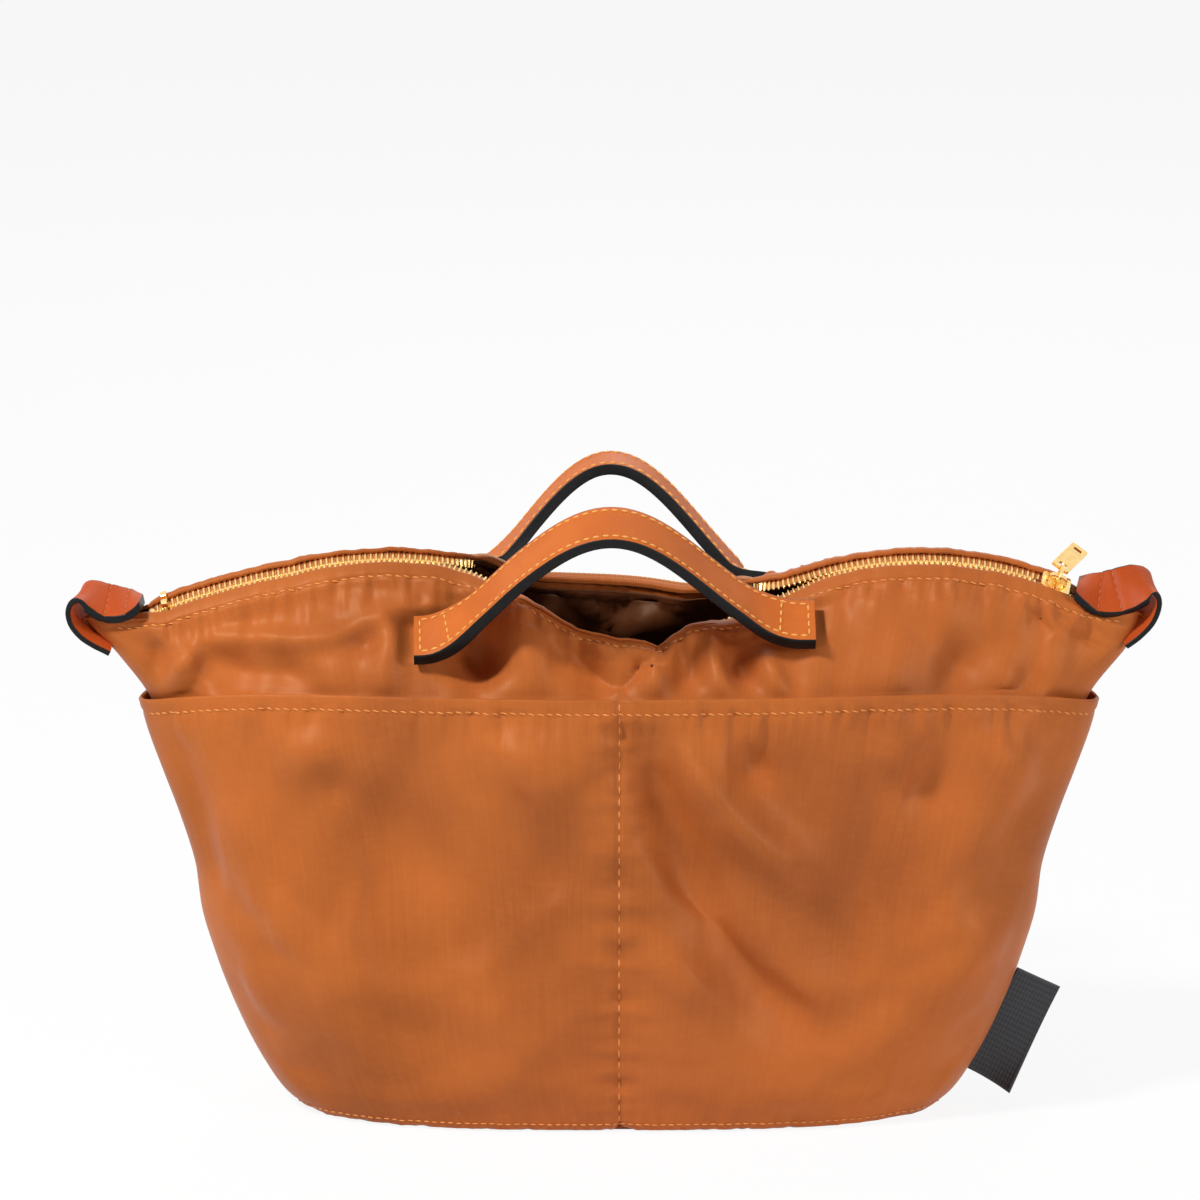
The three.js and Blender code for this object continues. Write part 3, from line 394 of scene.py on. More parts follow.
def top_point(side, column, rise, inset):
    """The wall above the hem: up, leaning in, and over to the folded edge beside the zipper."""
    fade = wing_fade(column)[..., None]
    hem = body_point(side, column, 1 + 0 * column, 0)
    centre, _, inward, normal = chain_frame(side, column * TIP_SPAN / 2)
    upward = vec(0 * column, 0 * column, 0 * column + 1)
    way = unit(lerp(upward, inward, fade))
    edge = centre - inward * FOLD_EDGE * fade + normal * FOLD_LIFT * fade
    lean = -side * WALL_RISE * WALL_LEAN_SHARE * depth_share(column, HEM_CORNER_POWER)
    first = hem + vec(0 * lean, lean, 0 * lean + WALL_RISE)
    settled = ramp(np.abs(centre[..., 0]), TEETH_END_X, TEETH_END_X + END_SETTLE_LENGTH)
    roll = EDGE_ROLL * lerp(1, END_ROLL_SHARE, settled)
    if side < 0:
        roll = lerp(roll, FRONT_MIDDLE_ROLL, twisted(centre[..., 0]))
    else:
        place = centre[..., 0]
        flat = ramp(place, *FLAT_SHOULDER_START) * (1 - ramp(place, *FLAT_SHOULDER_END))
        roll = lerp(roll, FLAT_SHOULDER_ROLL, flat)
    second = edge - way * roll[..., None]
    r = rise[..., None]
    point = (
        hem * (1 - r) ** 3 + first * 3 * r * (1 - r) ** 2 + second * 3 * r * r * (1 - r) + edge * r**3
    )
    bulge = np.sign(column) * np.abs(column) ** WING_BULGE_POWER * WING_BULGE * np.sin(math.pi * rise)
    point[..., 0] = lerp(hem[..., 0], edge[..., 0], smooth(rise)) + bulge
    low = vec(-column, -side * depth_share(column, HEM_CORNER_POWER), 0 * column)
    high = -normal * fade
    high[..., 0] -= np.sign(column) * (1 - fade[..., 0])
    size = lerp(np.linalg.norm(low, axis=-1), np.linalg.norm(high, axis=-1), rise)
    shift = unit(lerp(low, high, r)) * size[..., None]
    covered = (POCKET_CLOTH + CLEARANCE + POCKET_STAND) * (1 - smooth(rise)) + inset
    return point + shift * covered[..., None]


def kept_apart(points, side):
    """Keeps the front and back halves from crossing at the side seams."""
    points[..., 1] = side * np.maximum(SEAM_GAP, side * points[..., 1])
    return points


def layer_point(side, column, row, inset):
    """A layer of the wall: row 0 at the base, 1 at the pocket hem, 2 at the folded mouth edge."""
    column, row = np.broadcast_arrays(np.asarray(column, float), np.asarray(row, float))
    inset = np.broadcast_to(np.asarray(inset, float), column.shape)
    low = body_point(side, column, np.minimum(row, 1), POCKET_CLOTH + CLEARANCE + POCKET_STAND + inset)
    high = top_point(side, column, np.clip(row - 1, 0, 1), inset)
    return kept_apart(np.where((row <= 1)[..., None], low, high), side)


# Folds: a ridge or valley along a line, given by x and by the height at which it is seen
# from the front, 15 degrees above level; each has its half width and its height in the cloth
SIGHT = math.radians(90 - CAMERA_TILT)
BUMPS_PER_HALF_WIDTH = 2.5
FOLD_END_SIZE = 0.55


def sight_height(points):
    """Height at which points are seen from the front."""
    return points[..., 2] * math.cos(SIGHT) + points[..., 1] * math.sin(SIGHT)


def from_sight(x, q, y):
    """Point with a depth y that is seen from the front at height q."""
    return vec(x, y, (np.asarray(q, float) - np.asarray(y, float) * math.sin(SIGHT)) / math.cos(SIGHT))


def line_reach(x, q, line):
    """Distance of every place from a line of points, and how far along the line it lies."""
    best = np.full(x.shape, 1e9)
    share = np.zeros(x.shape)
    line = np.array(line, float)
    lengths = np.linalg.norm(np.diff(line, axis=0), axis=1)
    passed = 0.0
    for (ax, aq), (bx, bq), length in zip(line[:-1], line[1:], lengths):
        t = np.clip(((x - ax) * (bx - ax) + (q - aq) * (bq - aq)) / length**2, 0, 1)
        away = np.hypot(x - lerp(ax, bx, t), q - lerp(aq, bq, t))
        nearer = away < best
        share = np.where(nearer, (passed + t * length) / lengths.sum(), share)
        best = np.where(nearer, away, best)
        passed += length
    return best, share


def folded(points, folds):
    """Height of the cloth above its plain form, summed over the soft folds. Each fold is a row of
    close rounded bumps along its line, highest in its middle."""
    x, q = points[..., 0], sight_height(points)
    height = np.zeros(x.shape)
    for line, half_width, rise in folds:
        bends = np.array(line, float)
        lengths = travelled(bends)
        count = max(3, int(lengths[-1] / half_width * BUMPS_PER_HALF_WIDTH))
        at = (np.arange(count) + 0.5) / count * lengths[-1]
        across, up = (through(list(zip(lengths, bends[:, k])), at) for k in (0, 1))
        bump = np.zeros(x.shape)
        for bx, bq, share in zip(across, up, at / lengths[-1]):
            size = lerp(FOLD_END_SIZE, 1, math.sin(math.pi * share))
            bump += size * np.exp(-((x - bx) ** 2 + (q - bq) ** 2) / half_width**2)
        overlap = math.erf(lengths[-1] / 2 / half_width)
        full = count * half_width * math.sqrt(math.pi) / lengths[-1] * overlap
        height += rise * bump / full
    return height


def creased(points, creases):
    """Sharp valleys of the cloth, which fall steeply to their line."""
    x, q = points[..., 0], sight_height(points)
    height = np.zeros(x.shape)
    for line, half_width, rise in creases:
        away, share = line_reach(x, q, line)
        height += rise * np.sin(math.pi * lerp(0.12, 1, share)) ** 0.5 * np.exp(-away / half_width)
    return height


def gathered(along, away, count, span, reach, height, width=1.6):
    """Small wrinkles square to a seam: at random places along it, dying out away from it."""
    total = np.zeros(np.broadcast(along, away).shape)
    spacing = (span[1] - span[0]) / count
    places = np.linspace(span[0], span[1], count) + rng.uniform(-0.35, 0.35, count) * spacing
    for place in places:
        size = height * rng.uniform(0.35, 1.0) * rng.choice([1, 1, -0.7])
        fall = reach * rng.uniform(0.5, 1.5)
        lean = rng.uniform(-0.15, 0.15)
        wide = width * rng.uniform(0.7, 1.4)
        total += size * np.exp(-(((along - place - lean * away) / wide) ** 2) - (away / fall) ** 2)
    return total


def rippled(x, q, height, lengths=(26, 60), count=9):
    """Slow, uneven billows of soft cloth."""
    total = np.zeros(np.broadcast(x, q).shape)
    for _ in range(count):
        turn = rng.uniform(-0.9, 0.9)
        length = rng.uniform(*lengths)
        phase = rng.uniform(0, 2 * math.pi)
        wave = (x * math.cos(turn) + q * math.sin(turn)) * 2 * math.pi / length + phase
        total += np.sin(wave + 0.6 * np.sin(q / rng.uniform(14, 30) + phase))
    return total * height / math.sqrt(count)


def outward_of(points, side):
    """The way out of the cloth at every place of a panel."""
    return unit(np.cross(np.gradient(points, axis=1), np.gradient(points, axis=0))) * -side


def raised(points, height, side):
    return points + outward_of(points, side) * height[..., None]


def evened(lines, reach=4):
    """Directions along an edge, evened out over their neighbours."""
    padded = np.pad(lines, ((reach, reach), (0, 0)), mode="edge")
    return unit(sum(padded[start:start + len(lines)] for start in range(2 * reach + 1)))


def turned_edge(points, side, depth):
    """The cloth's top edge rolled inwards and tucked down inside by a depth."""
    rise = evened(unit(points[-1] - points[-2]))
    out = evened(outward_of(points, side)[-1])
    roll = [
        points[-1] + rise * EDGE_TURN * math.sin(a) - out * EDGE_TURN * (1 - math.cos(a))
        for a in np.linspace(0, math.pi, 7)[1:]
    ]
    tuck = [roll[-1] - rise * depth * share for share in (0.3, 0.65, 1)]
    return np.concatenate([points, roll, tuck])


# Seats of the handles: depth and height at the left and right ends, and the way up the wall
SEATS = {
    -1: ((-24.09, 184.21), (-21.15, 184.24), (0.80, 0.60)),
    1: ((26.26, 183.42), (24.72, 183.53), (-0.3694, 0.9293)),
}
ARCH_SPANS = {-1: (69.5, 69.0), 1: (61.0, 64.0)}
# How far each sewn end lies off its seat, as depth and height, the stretch over which it moves
# there, and the places where the strap ends
END_SHIFTS = {-1: ((0.0, -5.4), (0.0, -0.4)), 1: ((-7.0, 7.0), (0.0, -3.2))}
END_SHIFT_REACHES = ((34.0, 70.0), (34.0, 66.0))
HANDLE_ENDS = {-1: (-74.0, 70.6), 1: (-68.0, 61.8)}
ARCH_CENTRE_X = -3.0
ARCH_RISES = {-1: 45.2, 1: 48.4}
HANDLE_ROLL = {-1: 0.0, 1: 27.0}


def handle_centre(side, x):
    """Middle line of a strap, how far it has risen off the wall, and the lean of its arch."""
    (left_y, left_z), (right_y, right_z), _ = SEATS[side]
    turn = math.radians(180 - HANDLE_LEAN if side < 0 else HANDLE_LEAN)
    left_span, right_span = ARCH_SPANS[side]
    away = x - ARCH_CENTRE_X
    share = np.minimum(1, np.abs(away) / np.where(away < 0, left_span, right_span))
    rise = ARCH_RISES[side] / 2 * (1 + np.cos(math.pi * share))
    place = (x / HANDLE_SEAT_X + 1) / 2
    left, right = ramp(-x, *END_SHIFT_REACHES[0]), ramp(x, *END_SHIFT_REACHES[1])
    (left_dy, left_dz), (right_dy, right_dz) = END_SHIFTS[side]
    y = lerp(left_y, right_y, place) + math.cos(turn) * rise + left_dy * left + right_dy * right
    z = lerp(left_z, right_z, place) + math.sin(turn) * rise + left_dz * left + right_dz * right
    return vec(x, y, z), rise, turn


def handle_frame(side, x):
    """Centre, way along, way across and way out of a strap."""
    centre, rise, turn = handle_centre(side, x)
    along = unit(handle_centre(side, x + 0.5)[0] - handle_centre(side, x - 0.5)[0])
    climb = np.array([0, *SEATS[side][2]])
    roll = math.radians(HANDLE_ROLL[side])
    arch_wide = np.array([0, math.sin(turn + roll), -math.cos(turn + roll)]) * -side
    freed = smooth(rise / STRAP_WIDTH / HANDLE_FREED_SHARE)[:, None]
    wide = lerp(climb, arch_wide, freed)
    wide = unit(wide - along * dot(wide, along))
    return centre, along, wide, unit(np.cross(along, wide)) * -side


def pressed_below(points, frame_at, depth, reaches):
    """The cloth pressed down until it lies a depth under the middle of a strap."""
    centre, along, wide, thick = frame_at
    away = points - centre
    over = np.maximum(0, (away * thick).sum(-1) + depth)
    hold = 1
    for way, reach in zip((along, wide), reaches):
        hold = hold * (1 - ramp(np.abs((away * way).sum(-1)), *reach))
    return points - thick * (over * hold)[..., None]


def pressed_under(points, side):
    """The cloth pressed in under the sewn ends of the handle and under the end loops."""
    half_thick = STRAP_THICKNESS * (1 + SEWN_END_EXTRA_SHARE) / 2
    for end, x in zip((-1, 1), HANDLE_ENDS[side]):
        frame_at = [line[0] for line in handle_frame(side, np.array([x - end * SEWN_END_HALF]))]
        points = pressed_below(points, frame_at, half_thick + PRESS_GAP, SEWN_END_PRESS)
    for end in (1, -1):
        _, *lines = loop_frame(end)
        for place in range(0, LOOP_RINGS // 2, 3):
            frame_at = [line[place] for line in lines]
            points = pressed_below(points, frame_at, LOOP_THICKNESS / 2 + PRESS_GAP, LOOP_PRESS)
    return points


# End loops: the front and the back edge of each strap, as (x, height seen from the front, depth)
RIGHT_LOOP_FRONT = [
    (163.8, 183.4, -7), (169, 179.2, -8), (173.8, 175, -8), (178.5, 173.6, -8), (183.6, 174.8, -8),
    (187.2, 178.2, -8), (191, 181.8, -8), (194.4, 182.4, -8), (195.6, 178.5, -8), (193.8, 172.8, -8),
    (189.4, 168.4, -7), (183.8, 165, -5),
]
RIGHT_LOOP_BACK = [
    (168.8, 187.2, 7), (172.2, 189.2, 7), (176.4, 191.2, 6.5), (180.7, 193.3, 6), (185.3, 194.7, 6),
    (189.2, 194, 6.5), (191.8, 191.6, 7.5), (192.6, 189, 8), (191.6, 185.5, 8), (189, 180.5, 8),
    (185.8, 175.6, 7.5), (182.6, 171, 6.5),
]
LEFT_LOOP_FRONT = [
    (-170.6, 179.6, -7.5), (-174.3, 176.5, -8), (-178, 174.2, -8), (-182.5, 173.2, -8), (-187, 173.8, -8),
    (-191, 176.4, -8), (-194.8, 179.1, -8), (-198, 179.7, -8), (-199.8, 176.6, -8), (-199, 172.2, -8),
    (-195.8, 168, -8), (-191, 165, -7), (-185.4, 163, -5),
]
LEFT_LOOP_BACK = [
    (-176.3, 180.6, 7), (-179.2, 182.4, 7.5), (-182.3, 184, 8), (-185.4, 185.6, 8), (-188, 186.6, 8),
    (-190.6, 187, 8), (-192.8, 186.2, 8), (-194.2, 184, 8), (-194.4, 180.6, 8), (-193.2, 176.8, 8),
    (-190.8, 173.4, 8), (-187.4, 170.6, 7.5), (-183.6, 168, 6),
]
LOOP_EDGES = {-1: (LEFT_LOOP_FRONT, LEFT_LOOP_BACK), 1: (RIGHT_LOOP_FRONT, RIGHT_LOOP_BACK)}
# The two rows of stitches on each loop, as places along its edges
LOOP_SEAMS = {-1: (1.6, 3.6), 1: (1.9, 3.3)}
LOOP_WIDTH = 18.0
LOOP_THICKNESS = 3.4
LOOP_RINGS = 90
LOOP_TAIL = (5.5, 8.0)
LOOP_TAIL_THINNING = 0.42
LOOP_SEAM_THINNING = 0.24
LOOP_SEAM_HALF_WIDTH = 0.16
LOOP_STITCH_ROOM = 1.6


def loop_frame(end):
    """Places along a loop, with its centre, its way along, its way across and its way out."""
    front_edge, back_edge = LOOP_EDGES[end]
    at = np.linspace(0, len(front_edge) - 1, LOOP_RINGS)

    def edge_curve(edge):
        places = np.array([from_sight(*place) for place in edge])
        return np.stack([through(list(enumerate(places[:, k])), at) for k in range(3)], axis=-1)

    front_curve, back_curve = edge_curve(front_edge), edge_curve(back_edge)
    centre = (front_curve + back_curve) / 2
    along = unit(np.gradient(centre, axis=0))
    wide = front_curve - back_curve
    wide = unit(wide - along * dot(wide, along))
    return at, centre, along, wide, unit(np.cross(wide, along)) * end


# Meshes
def finished(bm, name, smooth_shaded=True):
    """An object of the scene made of a mesh under construction."""
    mesh = bpy.data.meshes.new(name)
    bm.to_mesh(mesh)
    bm.free()
    for face in mesh.polygons:
        face.use_smooth = smooth_shaded
    piece = bpy.data.objects.new(name, mesh)
    bpy.context.scene.collection.objects.link(piece)
    return piece


def widest(points, axis):
    """Places along one axis of a grid, apart by the longest step between its lines."""
    steps = np.linalg.norm(np.diff(points, axis=axis), axis=-1)
    return np.r_[0, np.cumsum(steps.max(axis=1 - axis))]


def gridded(points, u_at, v_at):
    """A grid of faces whose points are moved to the given places, with its lines laid out flat."""
    rows, columns = points.shape[:2]
    bm = bmesh.new()
    uv = bm.loops.layers.uv.new("cloth")
    bmesh.ops.create_grid(bm, x_segments=columns - 1, y_segments=rows - 1, size=0.5)
    for vert in bm.verts:
        i = round((vert.co.x + 0.5) * (columns - 1))
        j = round((vert.co.y + 0.5) * (rows - 1))
        vert.index = j * columns + i
        vert.co = points[j, i] * MM
    for face in bm.faces:
        for loop in face.loops:
            j, i = divmod(loop.vert.index, columns)
            loop[uv].uv = (u_at[i] * MM, v_at[j] * MM)
    return bm


def cloth(name, points, side, thickness=CLOTH_THICKNESS):
    """A sheet of cloth with a thickness under its outer face."""
    bm = gridded(points, widest(points, 1), widest(points, 0))
    if side > 0:
        bmesh.ops.reverse_faces(bm, faces=bm.faces)
    bmesh.ops.remove_doubles(bm, verts=bm.verts, dist=1e-7)
    piece = finished(bm, name)
    solid = piece.modifiers.new("thickness", "SOLIDIFY")
    solid.thickness = thickness * MM
    solid.offset = -1
    return piece


def placed(centre, axes):
    """Places a unit shape round a centre, with its three axes given as the columns of a matrix."""
    spot = Matrix.Identity(4)
    for row in range(3):
        for column in range(3):
            spot[row][column] = axes[row, column] * MM
        spot[row][3] = centre[row] * MM
    return spot


def swept(name, points, paint):
    """A closed bar through rings of points: rings along the first axis, round it along the second.
    paint gives a material index for each strip round the bar."""
    closed = np.concatenate([points, points[:, :1]], axis=1)
    bm = gridded(closed, travelled(closed[0]), travelled(points.mean(axis=1)))
    for face in bm.faces:
        strips = [loop.vert.index % closed.shape[1] for loop in face.loops]
        face.material_index = int(paint[min(strips)])
    bmesh.ops.remove_doubles(bm, verts=bm.verts, dist=1e-7)
    rims = [edge for edge in bm.edges if edge.is_boundary]
    for edge in rims:
        edge.smooth = False
    for face in bmesh.ops.holes_fill(bm, edges=rims)["faces"]:
        face.material_index = 1
    bmesh.ops.recalc_face_normals(bm, faces=bm.faces)
    return finished(bm, name)


def stitched(name, path, outward, stitch, slant=0.0, lift=0.12):
    """A row of single stitches along a path: short rounded threads that dip at both ends."""
    pitch, length, width = stitch
    at = evenly(path, pitch)
    places = picked(path, at)
    ways = unit(picked(np.gradient(path, axis=0), at))
    ups = unit(picked(outward, at))
    lean = math.radians(slant)
    bm = bmesh.new()
    for place, way, up in zip(places, ways, ups):
        side = np.cross(up, way)
        thread = way * math.cos(lean) + side * math.sin(lean)
        over = np.cross(up, thread)
        axes = np.stack([thread * length / 2, over * width / 2, up * width * 0.45], axis=1)
        spot = placed(place + up * lift, axes)
        bmesh.ops.create_uvsphere(bm, u_segments=7, v_segments=5, radius=1, matrix=spot)
    return finished(bm, name)


def coarse_places(count):
    """Every few places of a row, and its last."""
    return np.unique(np.r_[np.arange(0, count, SETTLING_STEP), count - 1])


def filled_in(values, at, count):
    """Values at some places along the first axis, and between them."""
    lines = values.reshape(len(at), -1).T
    filled = np.stack([np.interp(np.arange(count), at, line) for line in lines], axis=-1)
    return filled.reshape(count, *values.shape[1:])


def simulated(patch, pins, side, growth):
    """Where the points of a grid come to lie, as cloth that is held by its pins."""
    bm = gridded(patch, widest(patch, 1), widest(patch, 0))
    order = [vert.index for vert in bm.verts]
    sample = finished(bm, "cloth_sample")
    group = sample.vertex_groups.new(name="held")
    flat = pins.reshape(-1)
    for vertex, place in zip(sample.data.vertices, order):
        group.add([vertex.index], float(flat[place]), "REPLACE")
    maker = sample.modifiers.new("cloth", "CLOTH")
    for name, value in CLOTH_SETTINGS.items():
        setattr(maker.settings, name, value)
    maker.settings.shrink_min = -growth
    maker.settings.effector_weights.gravity = SETTLING_GRAVITY
    maker.settings.uniform_pressure_force = SETTLING_PRESSURE * -side
    maker.collision_settings.use_collision = False
    scene = bpy.context.scene
    for number in range(1, SETTLING_FRAMES + 1):
        scene.frame_set(number)
    shape = sample.evaluated_get(bpy.context.evaluated_depsgraph_get())
    places = np.array([v.co for v in shape.data.vertices]) / MM
    result = np.zeros((patch.shape[0] * patch.shape[1], 3))
    result[np.array(order)] = places
    scene.frame_set(1)
    mesh = sample.data
    bpy.data.objects.remove(sample)
    bpy.data.meshes.remove(mesh)
    return result.reshape(patch.shape)


def settled_cloth(points, held, side, growth=0.012):
    """Lets a panel, cut a little larger than its seams, settle under its own weight while its
    seams hold it. The panel is tried on a coarser grid, and its moves are spread smoothly."""
    rows, columns = (coarse_places(count) for count in points.shape[:2])
    patch = points[np.ix_(rows, columns)]
    moved = simulated(patch, held[np.ix_(rows, columns)], side, growth) - patch
    size = np.linalg.norm(moved, axis=-1, keepdims=True)
    moved = moved * np.minimum(1, SETTLING_LIMIT / np.maximum(size, 1e-6))
    across = filled_in(moved.swapaxes(0, 1), columns, points.shape[1]).swapaxes(0, 1)
    full = filled_in(across, rows, points.shape[0])
    for _ in range(SETTLING_SMOOTHINGS):
        full[1:-1] = (full[:-2] + 2 * full[1:-1] + full[2:]) / 4
        full[:, 1:-1] = (full[:, :-2] + 2 * full[:, 1:-1] + full[:, 2:]) / 4
    return points + full


# Materials
def rgb(red, green, blue):
    """A colour as it is seen on a screen, turned into shares of light."""
    def linear(value):
        share = value / 255
        return share / 12.92 if share <= 0.04045 else ((share + 0.055) / 1.055) ** 2.4
    return (linear(red), linear(green), linear(blue), 1)


class Finish:
    """A node material under construction."""

    def __init__(self, name):
        self.material = bpy.data.materials.new(name)
        self.material.use_nodes = True
        self.nodes = self.material.node_tree.nodes
        self.links = self.material.node_tree.links
        self.shader = self.nodes["Principled BSDF"]

    def add(self, kind, **values):
        node = self.nodes.new(kind)
        for name, value in values.items():
            if hasattr(node, name):
                setattr(node, name, value)
            else:
                node.inputs[name.replace("_", " ")].default_value = value
        return node

    def link(self, source, target):
        self.links.new(source, target)

    def feed(self, *pairs):
        """Sockets take the output of another node, or a plain value."""
        for value, socket in pairs:
            if hasattr(value, "links"):
                self.link(value, socket)
            else:
                socket.default_value = value

    def colour(self, value):
        self.feed((value, self.shader.inputs["Base Color"]))

    def set(self, **values):
        for name, value in values.items():
            self.shader.inputs[name.replace("_", " ")].default_value = value

    def coordinates(self, kind, scale=(1, 1, 1)):
        place = self.add("ShaderNodeTexCoord")
        mapping = self.add("ShaderNodeMapping")
        mapping.inputs["Scale"].default_value = scale
        self.link(place.outputs[kind], mapping.inputs["Vector"])
        return mapping.outputs["Vector"]

    def noise(self, vector, scale, detail=3.0, roughness=0.5):
        node = self.add("ShaderNodeTexNoise", Scale=scale, Detail=detail, Roughness=roughness)
        self.link(vector, node.inputs["Vector"])
        return node.outputs["Fac"]

    def ramp(self, factor, stops):
        node = self.add("ShaderNodeValToRGB")
        ramp_stops = node.color_ramp.elements
        for index, (place, shade) in enumerate(stops):
            stop = ramp_stops[index] if index < 2 else ramp_stops.new(place)
            stop.position = place
            stop.color = shade
        self.link(factor, node.inputs["Fac"])
        return node.outputs["Color"]

    def mix(self, first, second, factor):
        node = self.add("ShaderNodeMix", data_type="RGBA")
        self.feed((first, node.inputs[6]), (second, node.inputs[7]), (factor, node.inputs[0]))
        return node.outputs[2]

    def math(self, operation, first, second):
        node = self.add("ShaderNodeMath", operation=operation)
        self.feed((first, node.inputs[0]), (second, node.inputs[1]))
        return node.outputs[0]

    def wave(self, vector, scale, direction="X", distortion=0.0):
        node = self.add("ShaderNodeTexWave", wave_type="BANDS", bands_direction=direction)
        node.inputs["Scale"].default_value = scale
        node.inputs["Distortion"].default_value = distortion
        self.link(vector, node.inputs["Vector"])
        return node.outputs["Fac"]

    def bump(self, height, strength, distance):
        node = self.add("ShaderNodeBump", Strength=strength, Distance=distance)
        self.link(height, node.inputs["Height"])
        self.link(node.outputs["Normal"], self.shader.inputs["Normal"])


def satin_nylon(name, base, shade, painted_sheen_colour, blush):
    """Satin-faced nylon: fine threads, painted sheen (thin streaks of a paler colour standing in for the
    satin's highlights) and slow changes of tone.
    """
    finish = Finish(name)
    place = finish.coordinates("Object")
    cut = finish.coordinates("UV")
    tone = finish.ramp(finish.noise(place, 14, 3), [(0.32, shade), (0.62, base)])
    reddened = finish.ramp(finish.noise(place, 5, 1), [(0.45, (0, 0, 0, 1)), (0.75, (1, 1, 1, 1))])
    tone = finish.mix(tone, blush, finish.math("MULTIPLY", reddened, 0.45))
    # Painted sheen: thin streaks, gathered in patches, where a paler colour is mixed in for the satin's
    # highlights
    painted_streaks = finish.noise(finish.coordinates("UV", (700, 24, 1)), 1, 3, 0.6)
    painted_patches = finish.noise(finish.coordinates("UV", (160, 420, 1)), 1, 2)
    painted_streaks = finish.math("MULTIPLY", painted_streaks, finish.math("ADD", painted_patches, 0.35))
    finish.colour(finish.mix(tone, painted_sheen_colour, finish.math("MULTIPLY", painted_streaks, 0.3)))
    finish.set(Roughness=0.46, Specular_IOR_Level=0.2, Specular_Tint=(1, 0.74, 0.5, 1))
    finish.set(Sheen_Weight=0.03, Sheen_Roughness=0.4)
    warp = finish.wave(cut, 520, "X", 0.6)
    weft = finish.wave(cut, 420, "Y", 0.6)
    threads = finish.math("ADD", finish.math("MULTIPLY", warp, 0.6), weft)
    finish.bump(threads, 0.06, 0.0002)
    return finish.material


def leather(name, base, deep, pale):
    """Smooth dyed leather with a fine pebbled grain."""
    finish = Finish(name)
    place = finish.coordinates("Object")
    tone = finish.ramp(finish.noise(place, 60, 4), [(0.3, deep), (0.75, base)])
    cells = finish.add("ShaderNodeTexVoronoi", Scale=1900.0)
    finish.link(place, cells.inputs["Vector"])
    grain = finish.math("ADD", cells.outputs["Distance"], finish.noise(place, 900, 3))
    finish.colour(finish.mix(tone, pale, finish.math("MULTIPLY", grain, 0.12)))
    finish.set(Roughness=0.5, Specular_IOR_Level=0.14)
    finish.bump(grain, 0.14, 0.0003)
    return finish.material


def plain_finish(name, base, shade, roughness, scale=300, strength=0.1, metallic=0.0, specular=0.5):
    finish = Finish(name)
    place = finish.coordinates("Object")
    mottle = finish.noise(place, scale, 3)
    finish.colour(finish.ramp(mottle, [(0.3, shade), (0.7, base)]))
    finish.set(Roughness=roughness, Metallic=metallic, Specular_IOR_Level=specular)
    finish.bump(mottle, strength, 0.0002)
    return finish.material


def woven(name, base, shade, ribs, picks, roughness=0.7):
    """A close woven band: ribs across it and its warp along it, laid out on the cut cloth."""
    finish = Finish(name)
    cut = finish.coordinates("UV")
    rib = finish.wave(cut, ribs, "X", 0.4)
    pick = finish.wave(cut, picks, "Y", 0.4)
    weave = finish.math("MULTIPLY", finish.math("ADD", rib, pick), 0.5)
    finish.colour(finish.ramp(weave, [(0.2, shade), (0.75, base)]))
    finish.set(Roughness=roughness, Sheen_Weight=0.15)
    finish.bump(weave, 0.35, 0.0002)
    return finish.material


# The fourth colour of each satin is its painted sheen, the paler colour of its highlight streaks
NYLON = satin_nylon(
    "caramel_satin_nylon", rgb(182, 96, 42), rgb(150, 76, 34), rgb(218, 134, 66), rgb(160, 76, 46)
)
# The lining's brown is its own colour, darkened further to the shaded look of the inside of the bag: partly
# painted shade
LINING = satin_nylon("brown_lining_painted_dark", rgb(84, 44, 22), rgb(66, 33, 16), rgb(112, 62, 32), rgb(80, 38, 22))
LEATHER = leather("tan_leather", rgb(206, 108, 44), rgb(190, 94, 36), rgb(224, 132, 66))
LOOP_LEATHER = leather("russet_leather", rgb(188, 78, 28), rgb(168, 64, 22), rgb(206, 100, 44))
EDGE_PAINT = plain_finish("black_edge_paint", rgb(22, 22, 23), rgb(13, 13, 14), 0.42, specular=0.2)
THREAD = plain_finish("golden_thread", rgb(244, 182, 92), rgb(222, 148, 66), 0.5, 2500, 0.4)
TOPSTITCH = plain_finish("caramel_thread", rgb(232, 152, 72), rgb(204, 120, 50), 0.5, 2500, 0.4)
LOOP_THREAD = plain_finish("russet_thread", rgb(206, 112, 58), rgb(150, 70, 34), 0.55, 2500, 0.4)
GOLD = plain_finish("pale_gold_plate", rgb(255, 224, 158), rgb(246, 204, 128), 0.22, 500, 0.03, 1.0)
TAPE = woven("zipper_tape_weave", rgb(196, 118, 58), rgb(156, 86, 40), 300, 420)
LABEL = woven("black_label_weave", rgb(46, 46, 52), rgb(16, 16, 20), 230, 150, 0.4)
BOARD = plain_finish("grey_board", rgb(150, 124, 94), rgb(128, 104, 78), 0.85)


def finish_piece(piece, body, materials, nodes=()):
    """Gives a piece its materials and the body that it rides on, and hides the nodes it stands for."""
    for material in materials:
        piece.data.materials.append(material)
    if nodes:
        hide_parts(*nodes)
    if body:
        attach(piece, body)
    return piece


# Camera, light and floor
def look_from_the_front():
    camera = bpy.data.cameras.new("camera")
    camera.lens = CAMERA_LENS
    camera.sensor_width = CAMERA_FILM
    view = bpy.data.objects.new("camera", camera)
    view.location = CAMERA_PLACE
    view.rotation_euler = (math.radians(CAMERA_TILT), 0, 0)
    bpy.context.scene.collection.objects.link(view)
    bpy.context.scene.camera = view


def lamp(name, place, target, size, power):
    light = bpy.data.lights.new(name, "AREA")
    light.shape = "DISK"
    light.size = size
    light.energy = power
    holder = bpy.data.objects.new(name, light)
    holder.location = place
    holder.rotation_euler = (Vector(target) - Vector(place)).to_track_quat("-Z", "Y").to_euler()
    bpy.context.scene.collection.objects.link(holder)


